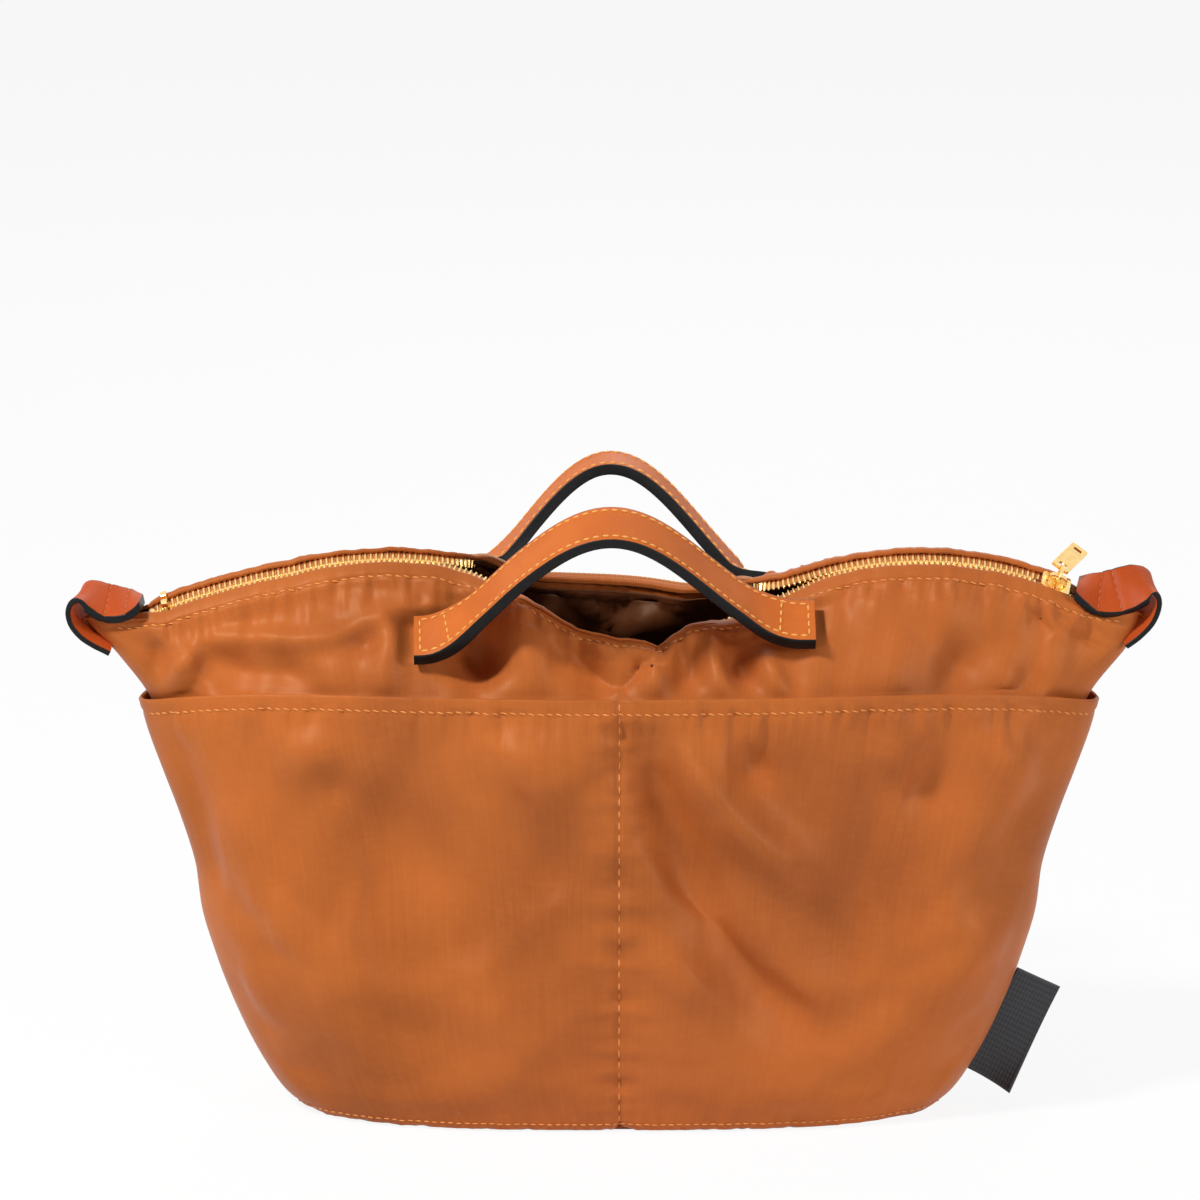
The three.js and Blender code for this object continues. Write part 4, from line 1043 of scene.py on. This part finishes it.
def seen_directly(nodes, links):
    """1 where the camera, a mirror or a view through glass meets a surface."""
    path = nodes.new("ShaderNodeLightPath")
    seen = path.outputs["Is Camera Ray"]
    for other in ("Is Glossy Ray", "Is Transmission Ray"):
        either = nodes.new("ShaderNodeMath")
        either.operation = "MAXIMUM"
        links.new(seen, either.inputs[0])
        links.new(path.outputs[other], either.inputs[1])
        seen = either.outputs[0]
    return seen


def white_world():
    world = bpy.data.worlds.new("studio")
    bpy.context.scene.world = world
    world.use_nodes = True
    nodes, links = world.node_tree.nodes, world.node_tree.links
    light = nodes["Background"]
    light.inputs["Color"].default_value = (1, 1, 1, 1)
    light.inputs["Strength"].default_value = 0.2
    white = nodes.new("ShaderNodeBackground")
    white.inputs["Color"].default_value = (1, 1, 1, 1)
    white.inputs["Strength"].default_value = 1.0
    mix = nodes.new("ShaderNodeMixShader")
    links.new(seen_directly(nodes, links), mix.inputs["Fac"])
    links.new(light.outputs[0], mix.inputs[1])
    links.new(white.outputs[0], mix.inputs[2])
    links.new(mix.outputs[0], nodes["World Output"].inputs["Surface"])


def pale_floor():
    bm = bmesh.new()
    bmesh.ops.create_grid(bm, x_segments=1, y_segments=1, size=6)
    floor = finished(bm, "floor", False)
    finish = Finish("pale_floor")
    finish.set(Base_Color=(0.93, 0.93, 0.93, 1), Roughness=0.9)
    white = finish.add("ShaderNodeEmission", Color=(1, 1, 1, 1), Strength=1.0)
    mix = finish.add("ShaderNodeMixShader")
    share = finish.math("MULTIPLY", seen_directly(finish.nodes, finish.links), 0.9)
    finish.link(share, mix.inputs["Fac"])
    finish.link(finish.shader.outputs[0], mix.inputs[1])
    finish.link(white.outputs[0], mix.inputs[2])
    finish.link(mix.outputs[0], finish.nodes["Material Output"].inputs["Surface"])
    floor.data.materials.append(finish.material)


bpy.context.scene.view_settings.view_transform = "Standard"
look_from_the_front()
white_world()
pale_floor()
lamp("key", (-0.85, -0.6, 1.35), (0, 0, 0.12), 0.24, 22.5)
lamp("fill", (1.3, -0.9, 0.6), (0, 0, 0.1), 0.5, 8.4)
lamp("back", (0.2, 1.3, 1.1), (0, 0, 0.15), 0.9, 6)

# Folds of the front wall above the pocket
WALL_RIDGES = [
    ([(-184, 163), (-174, 156)], 6, 2.4),
    ([(-163, 150), (-157, 158), (-151, 166)], 5, 5.1),
    ([(-148, 166.5), (-131, 167), (-117, 166), (-103, 167), (-92, 172), (-85, 175)], 4, 3.9),
    ([(-112, 158), (-100, 156)], 8, 3.0),
    ([(-85, 181), (-82, 148)], 7, 3.6),
    ([(-33, 181), (-33, 166), (-34, 148)], 9, 6.0),
    ([(-2, 166), (0, 156)], 6, 3.6),
    ([(18, 163), (13, 155), (11, 148)], 6, 5.4),
    ([(29, 174), (34, 163), (38, 148)], 5, 4.8),
    ([(47, 163), (53, 157), (62, 148)], 5, 5.1),
    ([(77, 176), (98, 181), (122, 180), (138, 173)], 12, 3.6),
    ([(142, 159), (133, 148)], 9, 4.5),
    ([(108, 163), (95, 148)], 10, 3.3),
    ([(153, 176), (161, 168)], 3, 2.1),
    ([(184, 166), (177, 148)], 6, 2.1),
    ([(-170, 166), (-167, 154)], 5, -3.9),
    ([(-149, 161), (-142, 157), (-130, 155), (-109, 155)], 6, -3.9),
    ([(-100, 163), (-92, 166), (-82, 171)], 5, -2.7),
    ([(-76, 176), (-75, 150)], 6, -2.7),
    ([(-60, 168), (-52, 162), (-45, 156)], 9, -15.0),
    ([(-21, 166), (-10, 155), (-2, 148)], 8, -4.5),
    ([(26, 166), (26, 155), (22, 148)], 6, -6.0),
    ([(42, 166), (45, 158), (44, 152)], 7, -9.0),
    ([(57, 156), (66, 148)], 5, -3.6),
    ([(-74, 161), (-60, 164)], 7, 3.0),
    ([(62, 166), (74, 166)], 7, 1.5),
    ([(133, 163), (117, 151)], 10, -6.3),
]
WALL_CREASES = [
    ([(13, 163), (6.5, 156), (0, 148)], 3.8, -4.6),
    ([(-16, 163), (-7, 155), (-1, 148)], 4.0, -3.6),
    ([(149, 178), (154, 173), (158, 168)], 2.4, -3.2),
    ([(161, 174), (168, 168), (176, 162)], 2.4, -3.0),
    ([(167, 176), (172, 171), (180, 165)], 2.2, -2.0),
]

# Folds of the front pocket panel
PANEL_RIDGES = [
    ([(-112, 132), (-118, 116)], 10, 4.9),
    ([(-105, 119), (-102, 108)], 8, -5.9),
    ([(-100, 128), (-90, 106)], 11, 5.9),
    ([(-105, 86), (-72, 94), (-47, 50)], 28, -9.9),
    ([(-137, 106), (-121, 64), (-101, 41), (-90, 30)], 14, 8.8),
    ([(-61, 39), (-34, 26)], 14, 5.9),
    ([(-52, 128), (-14, 116)], 14, 7.4),
    ([(-24, 92), (-16, 66)], 12, -4.9),
    ([(-130, 66), (-123, 44)], 8, -2.6),
    ([(-134, 50), (-126, 30)], 7, 2.2),
    ([(-163, 130), (-147, 79)], 6, -4.9),
    ([(11, 130), (18, 104), (32, 67), (53, 37), (71, 25)], 10, -10.9),
    ([(19, 129), (33, 110), (53, 91), (66, 82)], 9, 10.9),
    ([(13, 59), (29, 41), (41, 31)], 12, 7.8),
    ([(45, 126), (51, 115)], 6, -4.9),
    ([(113, 122), (111, 108)], 12, -7.8),
    ([(133, 132), (146, 115)], 8, 7.4),
    ([(93, 128), (104, 119)], 7, 3.9),
    ([(90, 108), (88, 72), (95, 32)], 22, -7.8),
    ([(126, 79), (117, 35)], 18, 5.9),
]


def distance_from_top(points):
    """How far every place of a panel lies from its top edge, along the cloth."""
    steps = np.linalg.norm(np.diff(points, axis=0), axis=-1)
    return np.r_[np.cumsum(steps[::-1], axis=0)[::-1], np.zeros((1, points.shape[1]))]


def columns_for(count):
    """Columns across a panel, closer together at its ends."""
    share = np.linspace(-1, 1, count)
    closer = 0.12
    return share * (1 - closer) + closer * np.sin(share * math.pi / 2)


def facing_front(points, side):
    """The back of the bag carries the folds of the front, seen from behind."""
    return points if side < 0 else points * np.array([-1, -1, 1])


def seam_line(points, side, measure, target, inside=None):
    """The line across a panel on which a measure has a value, with the way out of the cloth."""
    out = outward_of(points, side)
    rows = np.arange(points.shape[0])
    middle = points.shape[1] // 2
    order = slice(None, None, -1 if measure[0, middle] > measure[-1, middle] else 1)
    path, ups = [], []
    for column in range(points.shape[1]):
        if inside is not None and not inside[column]:
            continue
        at = np.interp(target, measure[order, column], rows[order])
        low = min(int(at), points.shape[0] - 2)
        path.append(lerp(points[low, column], points[low + 1, column], at - low))
        ups.append(lerp(out[low, column], out[low + 1, column], at - low))
    return np.array(path), np.array(ups)


def slack_behind(column, row):
    """How far the wall hangs back behind the pocket, away from its seams."""
    beside = 1 - ramp(np.abs(column), 0.72, 0.97)
    return POCKET_SLACK * ramp(row, 0.04, 0.22) * (1 - ramp(row, 0.76, 0.93)) * beside


def held_at(*edges):
    """How firmly every place is held: 1 on the seams and 0 a little away from them."""
    return np.where(np.max(edges, axis=0) > HELD_SHARE, 1.0, 0.0)


def pocket_panel(name, side):
    """The slip pocket over the lower wall, sewn round its edge and down its middle."""
    column, row = np.meshgrid(columns_for(301), np.linspace(0, 1, 104))
    height = row * HEM_HEIGHT
    foot = np.clip(1 - height / FOOT_ROLL, 0, 1)
    inset = FOOT_ROLL * (1 - np.sqrt(1 - foot**2))
    points = kept_apart(body_point(side, column, row, inset), side)
    away = distance_from_top(points)
    x = points[..., 0]
    held = held_at(
        ramp(-away, -7, -3), ramp(np.abs(column), 0.93, 0.97), ramp(-height, -9, -4),
        1 - ramp(np.abs(x), 2, 5),
    )
    points = settled_cloth(points, held, side)
    seam = 1 - ramp(np.abs(column), 0.9, 0.995)
    free = seam * ramp(height, 2, 22) * ramp(away, 2, 18)
    rise = folded(facing_front(points, side), PANEL_RIDGES) * free
    rise += rippled(x, height, 0.9) * free
    # Small wrinkles below the hem, beside the divider and over the foot
    below = np.maximum(0, away - HEM_BAND)
    rise += gathered(x, below, 96, (-170, 170), 9, 1.3) * np.where(away < HEM_BAND, 0.3, 1) * seam
    rise += gathered(height, np.abs(x), 40, (4, 156), 8, 1.5, 2.0)
    rise += gathered(x, height, 50, (-112, 112), 7, 0.7)
    # Valleys that the stitches draw in, and the hem that stands over its own
    rise -= 0.9 * near(x, 1.3) + 1.1 * np.exp(-np.abs(x) / 5)
    rise += 0.3 * (1 - ramp(away, HEM_BAND - 0.7, HEM_BAND + 0.5)) - 0.35 * near(away - HEM_BAND, 0.6)
    rise -= 0.3 * near(height - 3.6, 0.8) * ramp(height, 0, 2)
    points = raised(points, rise, side)
    under = points[0] + unit(points[0] * np.array([-0.4, -1, 0])) * FOOT_TUCK
    whole = turned_edge(np.concatenate([[under], points]), side, HEM_BAND)
    whole[..., 2] = np.maximum(whole[..., 2], LOWEST_CLOTH)
    return cloth(name, kept_apart(whole, side), side), points


def upper_wall(name, side):
    """The outer wall, from the base up behind the pocket and over to the folded mouth edge."""
    rows = np.r_[np.linspace(0, 0.9, 16), np.linspace(0.92, 1, 6), 1 + np.linspace(0, 1, 74)[1:]]
    column, row = np.meshgrid(columns_for(321), rows)
    points = layer_point(side, column, row, slack_behind(column, row))
    away = distance_from_top(points)
    x = points[..., 0]
    held = held_at(ramp(-away, -8, -4), ramp(np.abs(column), 0.94, 0.98), ramp(-row, -0.98, -0.9))
    points = settled_cloth(points, held, side)
    seam = 1 - ramp(np.abs(column), 0.955, 0.998)
    free = ramp(away, 3, 16) * seam * ramp(row, 0.6, 0.95)
    seen = facing_front(points, side)
    folds = folded(seen, WALL_RIDGES) + creased(seen, WALL_CREASES)
    rise = folds * free * (1 if side < 0 else BACK_FOLD_SHARE)
    rise += rippled(x, sight_height(seen), 0.5, (14, 34)) * free * 1.5
    # Small wrinkles below the zipper facing, and the valley of its seam
    below = np.maximum(0, away - FACING_WIDTH)
    wrinkles = gathered(x, below, 115, (-172, 172), 10.5, 1.6, 1.5)
    rise += wrinkles * seam * np.where(away < FACING_WIDTH, 0.2, 1)
    rise -= 0.5 * near(away - FACING_WIDTH, 0.8) * seam
    points = raised(points, rise, side)
    for end, (out, up) in TIP_DRAWS.items():
        tip = ramp(end * column, 0.93, 1) * ramp(row, 1.4, 1.95)
        points = points + tip[..., None] * np.array([end * out, 0, up])
    points = kept_apart(pressed_under(points, side), side)
    return cloth(name, kept_apart(turned_edge(points, side, EDGE_TUCKS[side]), side), side), points


def lining(name, wall, side):
    """The lining hangs just inside the wall and is sewn to it below the turned mouth edge."""
    rows = wall[np.median(distance_from_top(wall), axis=1) > LINING_TOPS[side]]
    inside = (rows - outward_of(rows, side) * LINING_INSET)[1::2, ::2]
    points = inside * np.array([LINING_NARROWING, 1, 1])
    points[..., 2] = np.maximum(points[..., 2], LINING_FOOT)
    return cloth(name, kept_apart(points, side), side, LINING_THICKNESS)


def inner_pocket(name, side):
    """A slip pocket on the lining, sewn at its sides and foot and open along its top hem."""
    foot, top = INNER_POCKET_FOOT_SHARE, INNER_POCKET_TOP_SHARE
    share, row = np.meshgrid(np.linspace(-1, 1, 121), np.linspace(foot, top, 46))
    column = share * (INNER_POCKET_HALF / (HEM_LENGTH / 2))
    lobe = (1 - ramp(np.abs(share), 0.8, 1)) * ramp(row, foot, 0.5)
    inset = slack_behind(column, row) + INNER_POCKET_GAP + INNER_POCKET_STAND * lobe
    points = layer_point(side, column, row, inset)
    held = held_at(ramp(np.abs(share), 0.93, 0.97), ramp(-row, -0.36, -0.34))
    points = settled_cloth(points, held, -side, 0.01)
    points = raised(points, rippled(points[..., 0], points[..., 2], 0.3, (20, 44)) * lobe, side)
    whole = turned_edge(points, -side, INNER_POCKET_TUCK)
    return cloth(name, whole, -side, INNER_POCKET_THICKNESS), points


def base_cloth(name, bottom, thickness):
    """A cloth panel of the base, cut to the rounded outline of the body."""
    column, share = np.meshgrid(np.sin(np.linspace(-1, 1, 61) * math.pi / 2), np.linspace(-1, 1, 31))
    edge = body_point(1, column, 0 * column, BASE_CLOTH_INSET)
    points = vec(edge[..., 0], edge[..., 1] * share, bottom + thickness)
    points[..., 2] += 0.15 * np.sin(column * 9) * np.cos(share * 4)
    return cloth(name, points, -1, thickness)


for side, word in SIDES:
    panel, panel_points = pocket_panel(word + "_pocket", side)
    finish_piece(panel, "root", [NYLON], [word + "_pocket_panel"])
    wall, wall_points = upper_wall(word + "_bag_wall", side)
    finish_piece(wall, "root", [NYLON], [word + "_wall"])
    inside = lining(word + "_inside_lining", wall_points, side)
    finish_piece(inside, "root", [LINING], [word + "_lining"])
    pocket, pocket_points = inner_pocket(word + "_inside_pocket", side)
    finish_piece(pocket, "root", [LINING], [word + "_inner_pocket"])

    path, ups = seam_line(panel_points, side, distance_from_top(panel_points), HEM_BAND)
    rows = [stitched(word + "_hem_stitches", path[3:-3], ups[3:-3], HEM_STITCH, 14 * side)]
    middle = panel_points.shape[1] // 2
    path, ups = panel_points[2:, middle], outward_of(panel_points, side)[2:, middle]
    rows.append(stitched(word + "_divider_stitches", path, ups, DIVIDER_STITCH))
    along_foot = np.abs(panel_points[0, :, 0]) < FOOT_STITCH_HALF_LENGTH
    path, ups = seam_line(panel_points, side, panel_points[..., 2], FOOT_STITCH_HEIGHT, along_foot)
    rows.append(stitched(word + "_foot_stitches", path, ups, FOOT_STITCH))
    path, ups = seam_line(wall_points, side, distance_from_top(wall_points), FACING_WIDTH)
    rows.append(stitched(word + "_mouth_stitches", path[6:-6], ups[6:-6], MOUTH_STITCH, 12 * side))
    path, ups = seam_line(pocket_points, side, distance_from_top(pocket_points), INNER_POCKET_BAND)
    rows.append(stitched(word + "_inside_pocket_stitches", path[2:-2], -ups[2:-2], INNER_POCKET_STITCH))
    for row in rows:
        finish_piece(row, "root", [TOPSTITCH])

base_outer = base_cloth("base_cloth", 0.8, 0.7)
finish_piece(base_outer, "root", [NYLON], ["base_panel"])
base_inner = base_cloth("base_inside_cloth", 4.3, 0.8)
finish_piece(base_inner, "root", [LINING], ["base_lining"])


# Zipper: gold teeth clamped on the corded edges of two woven tapes
def teeth_places(side, half):
    """Places of the teeth from one end of the row to the middle of the mouth."""
    x = np.linspace(TEETH_ENDS[half], MOUTH_CENTRE_X, 1600)
    lengths = travelled(row_frame(side, x)[0])
    phase = 0 if side < 0 else TOOTH_PITCH / 2
    return np.interp(np.arange(phase, lengths[-1], TOOTH_PITCH), lengths, x)


def teeth_row(name, side):
    """Teeth that taper towards their tips, and are shorter where the slider holds them."""
    bm = bmesh.new()
    for half in (-1, 1):
        places = teeth_places(side, half)
        for x, centre, along, inward, normal in zip(places, *row_frame(side, places)):
            tip = lerp(TOOTH_TIP_AT_SLIDER, TOOTH_TIP, float(ramp(abs(x - SLIDER_X), *SLIDER_HOLD)))
            middle = centre - inward * (TOOTH_ROOT + tip) / 2
            axes = np.stack([along * TOOTH_WIDTH, inward * (TOOTH_ROOT - tip), normal * TOOTH_HEIGHT], axis=1)
            corners = bmesh.ops.create_cube(bm, size=1, matrix=placed(middle, axes))["verts"]
            heart, point_way = Vector(middle * MM), Vector(inward)
            for corner in corners:
                offset = corner.co - heart
                if offset.dot(point_way) > 0:
                    for way, taken in ((Vector(normal), TOOTH_TAPER), (Vector(along), TOOTH_NARROWING)):
                        corner.co -= way * offset.dot(way) * taken
    piece = finished(bm, name, False)
    bevel = piece.modifiers.new("worn_edges", "BEVEL")
    bevel.width = METAL_EDGE * MM
    bevel.segments = 1
    return piece


def zipper_tape(name, side):
    """Woven tape from the roots of the teeth to under the turned edge of the wall."""
    columns = np.linspace(TEETH_ENDS[-1] - 2, TEETH_ENDS[1] + 2, 241) / (TIP_SPAN / 2)
    x = columns * TIP_SPAN / 2
    closed, opened = TAPE_DEPTHS
    depth = lerp(closed, opened, smooth(open_share(x) * FLAP_SHARE)) if side > 0 else closed
    covered = [layer_point(side, columns, row, depth) for row in TAPE_COVERED_ROWS]
    centre, _, inward, normal = row_frame(side, x)
    seen = [centre - inward * reach + normal * TAPE_THICKNESS / 2 for reach in TAPE_SEEN_REACHES]
    return cloth(name, np.stack(covered + seen), side, TAPE_THICKNESS)


for side, word in SIDES:
    row = teeth_row(word + "_teeth_row", side)
    finish_piece(row, "root", [GOLD], [word + "_zipper_teeth"])
    tape = zipper_tape(word + "_woven_tape", side)
    finish_piece(tape, "root", [TAPE], [word + "_zipper_tape"])


# Leather straps: two layers of leather with painted edges
def strap_profile(width, thickness, corner=0.5, crown=0.12):
    """Outline of the strap across its length, and which of its strips are the painted edges."""
    half, deep = width / 2, thickness / 2
    face = np.linspace(-1, 1, 7)
    bends = np.radians([30, 60, 90])
    top = [(s * (half - corner), deep + crown * (1 - s * s)) for s in face]
    right = [(half - corner + corner * math.sin(a), deep - corner + corner * math.cos(a)) for a in bends]
    right += [(w, -t) for w, t in right[::-1]]
    bottom = [(w, -t) for w, t in top[::-1]]
    left = [(-w, -t) for w, t in right]
    outline = np.array(top + right + bottom + left)
    across = np.abs(outline[:, 0])
    after = np.roll(across, -1)
    return outline, (np.minimum(across, after) >= half - corner - 1e-6).astype(int)


def strap(name, centre, wide, thick, width, thickness, thinned):
    """A strap along a line of frames; thinned is the share of its thickness left at each of them."""
    outline, paint = strap_profile(width, thickness)
    depth = outline[None, :, 1:] * thinned[:, None, None]
    rings = centre[:, None] + wide[:, None] * outline[None, :, :1] + thick[:, None] * depth
    return swept(name, rings, paint)


def end_thickness(x):
    """The strap is folded under at its sewn ends, which makes them thicker."""
    return 1 + SEWN_END_EXTRA_SHARE * ramp(np.abs(x), *SEWN_END_START)


def handle_row(name, side, start, stop):
    """Stitches along the face of the handle between two (place along the bag, place across it)."""
    share = np.linspace(0, 1, 80)
    x, across = (lerp(low, high, share) for low, high in zip(start, stop))
    centre, _, wide, thick = handle_frame(side, x)
    height = STRAP_THICKNESS / 2 * end_thickness(x) + 0.02
    path = centre + wide * across[:, None] + thick * height[:, None]
    return stitched(name, path, thick, HANDLE_STITCH)


def handle(side, word):
    """The strap in two halves with their stitches, each from its sewn end to the middle of the arch."""
    edge = STRAP_WIDTH / 2 - STITCH_INSET
    for end, place in ((-1, "left"), (1, "right")):
        name = f"{word}_handle_{place}"
        sewn = HANDLE_ENDS[side][end > 0]
        tip = sewn - end * STITCH_INSET
        box = tip - end * HANDLE_BOX_LENGTH
        x = np.linspace(sewn, 0, 64)
        centre, _, wide, thick = handle_frame(side, x)
        half = strap(name, centre, wide, thick, STRAP_WIDTH, STRAP_THICKNESS, end_thickness(x))
        parts = [(half, [LEATHER, EDGE_PAINT])]
        rows = (
            ("upper", (tip, edge), (0, edge)),
            ("lower", (tip, -edge), (0, -edge)),
            ("end", (tip, -edge), (tip, edge)),
            ("cross", (box, -edge), (box, edge)),
        )
        for row, start, stop in rows:
            parts.append((handle_row(f"{name}_{row}_row", side, start, stop), [THREAD]))
        for part, materials in parts:
            finish_piece(part, None, materials)
            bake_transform(part)
        nodes = [f"{word}_handle_end_{place}"]
        if end < 0:
            nodes += [f"{word}_handle_face", f"{word}_handle_backing"]
        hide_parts(*nodes)


for side, word in SIDES:
    handle(side, word)


def end_loop(word, end):
    """A leather loop through the side seam, thin at its tail and pressed in along its stitches."""
    at, centre, _, wide, thick = loop_frame(end)
    thinned = 1 - LOOP_TAIL_THINNING * ramp(at, *LOOP_TAIL)
    for place in LOOP_SEAMS[end]:
        thinned -= LOOP_SEAM_THINNING * near(at - place, LOOP_SEAM_HALF_WIDTH)
    loop = strap(word + "_leather_loop", centre, wide, thick, LOOP_WIDTH, LOOP_THICKNESS, thinned)
    finish_piece(loop, "root", [LOOP_LEATHER, EDGE_PAINT], [word + "_end_loop"])
    share = np.linspace(-0.5, 0.5, 30)[:, None] * (LOOP_WIDTH - LOOP_STITCH_ROOM)
    height = LOOP_THICKNESS / 2 * (1 - LOOP_SEAM_THINNING) + 0.06
    for number, place in enumerate(LOOP_SEAMS[end]):
        ring = np.interp([place], at, np.arange(LOOP_RINGS))
        spot, across, up = (picked(line, ring)[0] for line in (centre, wide, thick))
        path = spot + across * share + up * height
        ups = np.tile(up, (len(path), 1))
        row = stitched(f"{word}_loop_stitches_{number + 1}", path, ups, LOOP_STITCH, lift=0.08)
        finish_piece(row, "root", [LOOP_THREAD])


end_loop("right", 1)
end_loop("left", -1)


def side_label():
    """Woven label, folded double and held in the right side seam."""
    u, v = np.meshgrid(np.linspace(-LABEL_ROOT, LABEL_WIDTH, 30), np.linspace(0, LABEL_LENGTH, 60))
    out, up = u / LABEL_WIDTH, v / LABEL_LENGTH
    bend = LABEL_BOW * out**2 * np.sin(up * 2.6 - 0.5) - LABEL_LEAN * out**2 * (1 - up) ** 1.5
    fold = 0.25 * np.exp(-(LABEL_WIDTH - u) / 0.8)
    points = LABEL_FOOT + LABEL_OUT * u[..., None] + LABEL_UP * v[..., None]
    points[..., 1] = -LABEL_THICKNESS / 2 + bend - fold
    piece = cloth("woven_label", points, -1, LABEL_THICKNESS)
    finish_piece(piece, "side_label", [LABEL], ["side_label"])


side_label()


# CAD nodes that stay, with their finishes
def dress(node, material, soften=0.0):
    """Gives a node its material, and rounds its edges by so many millimetres."""
    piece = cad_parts[node]
    piece.data.materials.clear()
    piece.data.materials.append(material)
    if soften:
        weld = piece.modifiers.new("joined", "WELD")
        weld.merge_threshold = 1e-5
        bevel = piece.modifiers.new("rounded", "BEVEL")
        bevel.width = soften * MM
        bevel.segments = 2


def bottom_stop():
    """A folded strip of metal clamped across both rows of teeth where the zipper ends."""
    place = np.array([TEETH_ENDS[-1] - STOP_OFFSET])
    centre, along, inward, normal = (line[0] for line in chain_frame(-1, place))
    near_side, far_side = STOP_FACE
    bm = bmesh.new()
    for low, high in ((near_side, far_side), (-far_side, -near_side)):
        axes = np.stack([along * STOP_LENGTH, inward * STOP_WIDTH, normal * (high - low)], axis=1)
        bmesh.ops.create_cube(bm, size=1, matrix=placed(centre + normal * (low + high) / 2, axes))
    bmesh.ops.bevel(
        bm, geom=bm.edges[:], offset=METAL_EDGE * MM, segments=2, affect="EDGES", profile=0.5, material=-1
    )
    finish_piece(finished(bm, "zipper_end_stop"), "root", [GOLD], ["bottom_stop"])


bottom_stop()
METAL_NODES = {
    "front_top_stop": 0.25, "back_top_stop": 0.25, "slider_body": 0.2, "slider_crown": 0.3,
    "pull_tab": 0.22, "pull_link": 0.0,
}
for node, soften in METAL_NODES.items():
    dress(node, GOLD, soften)
dress("base_board", BOARD)
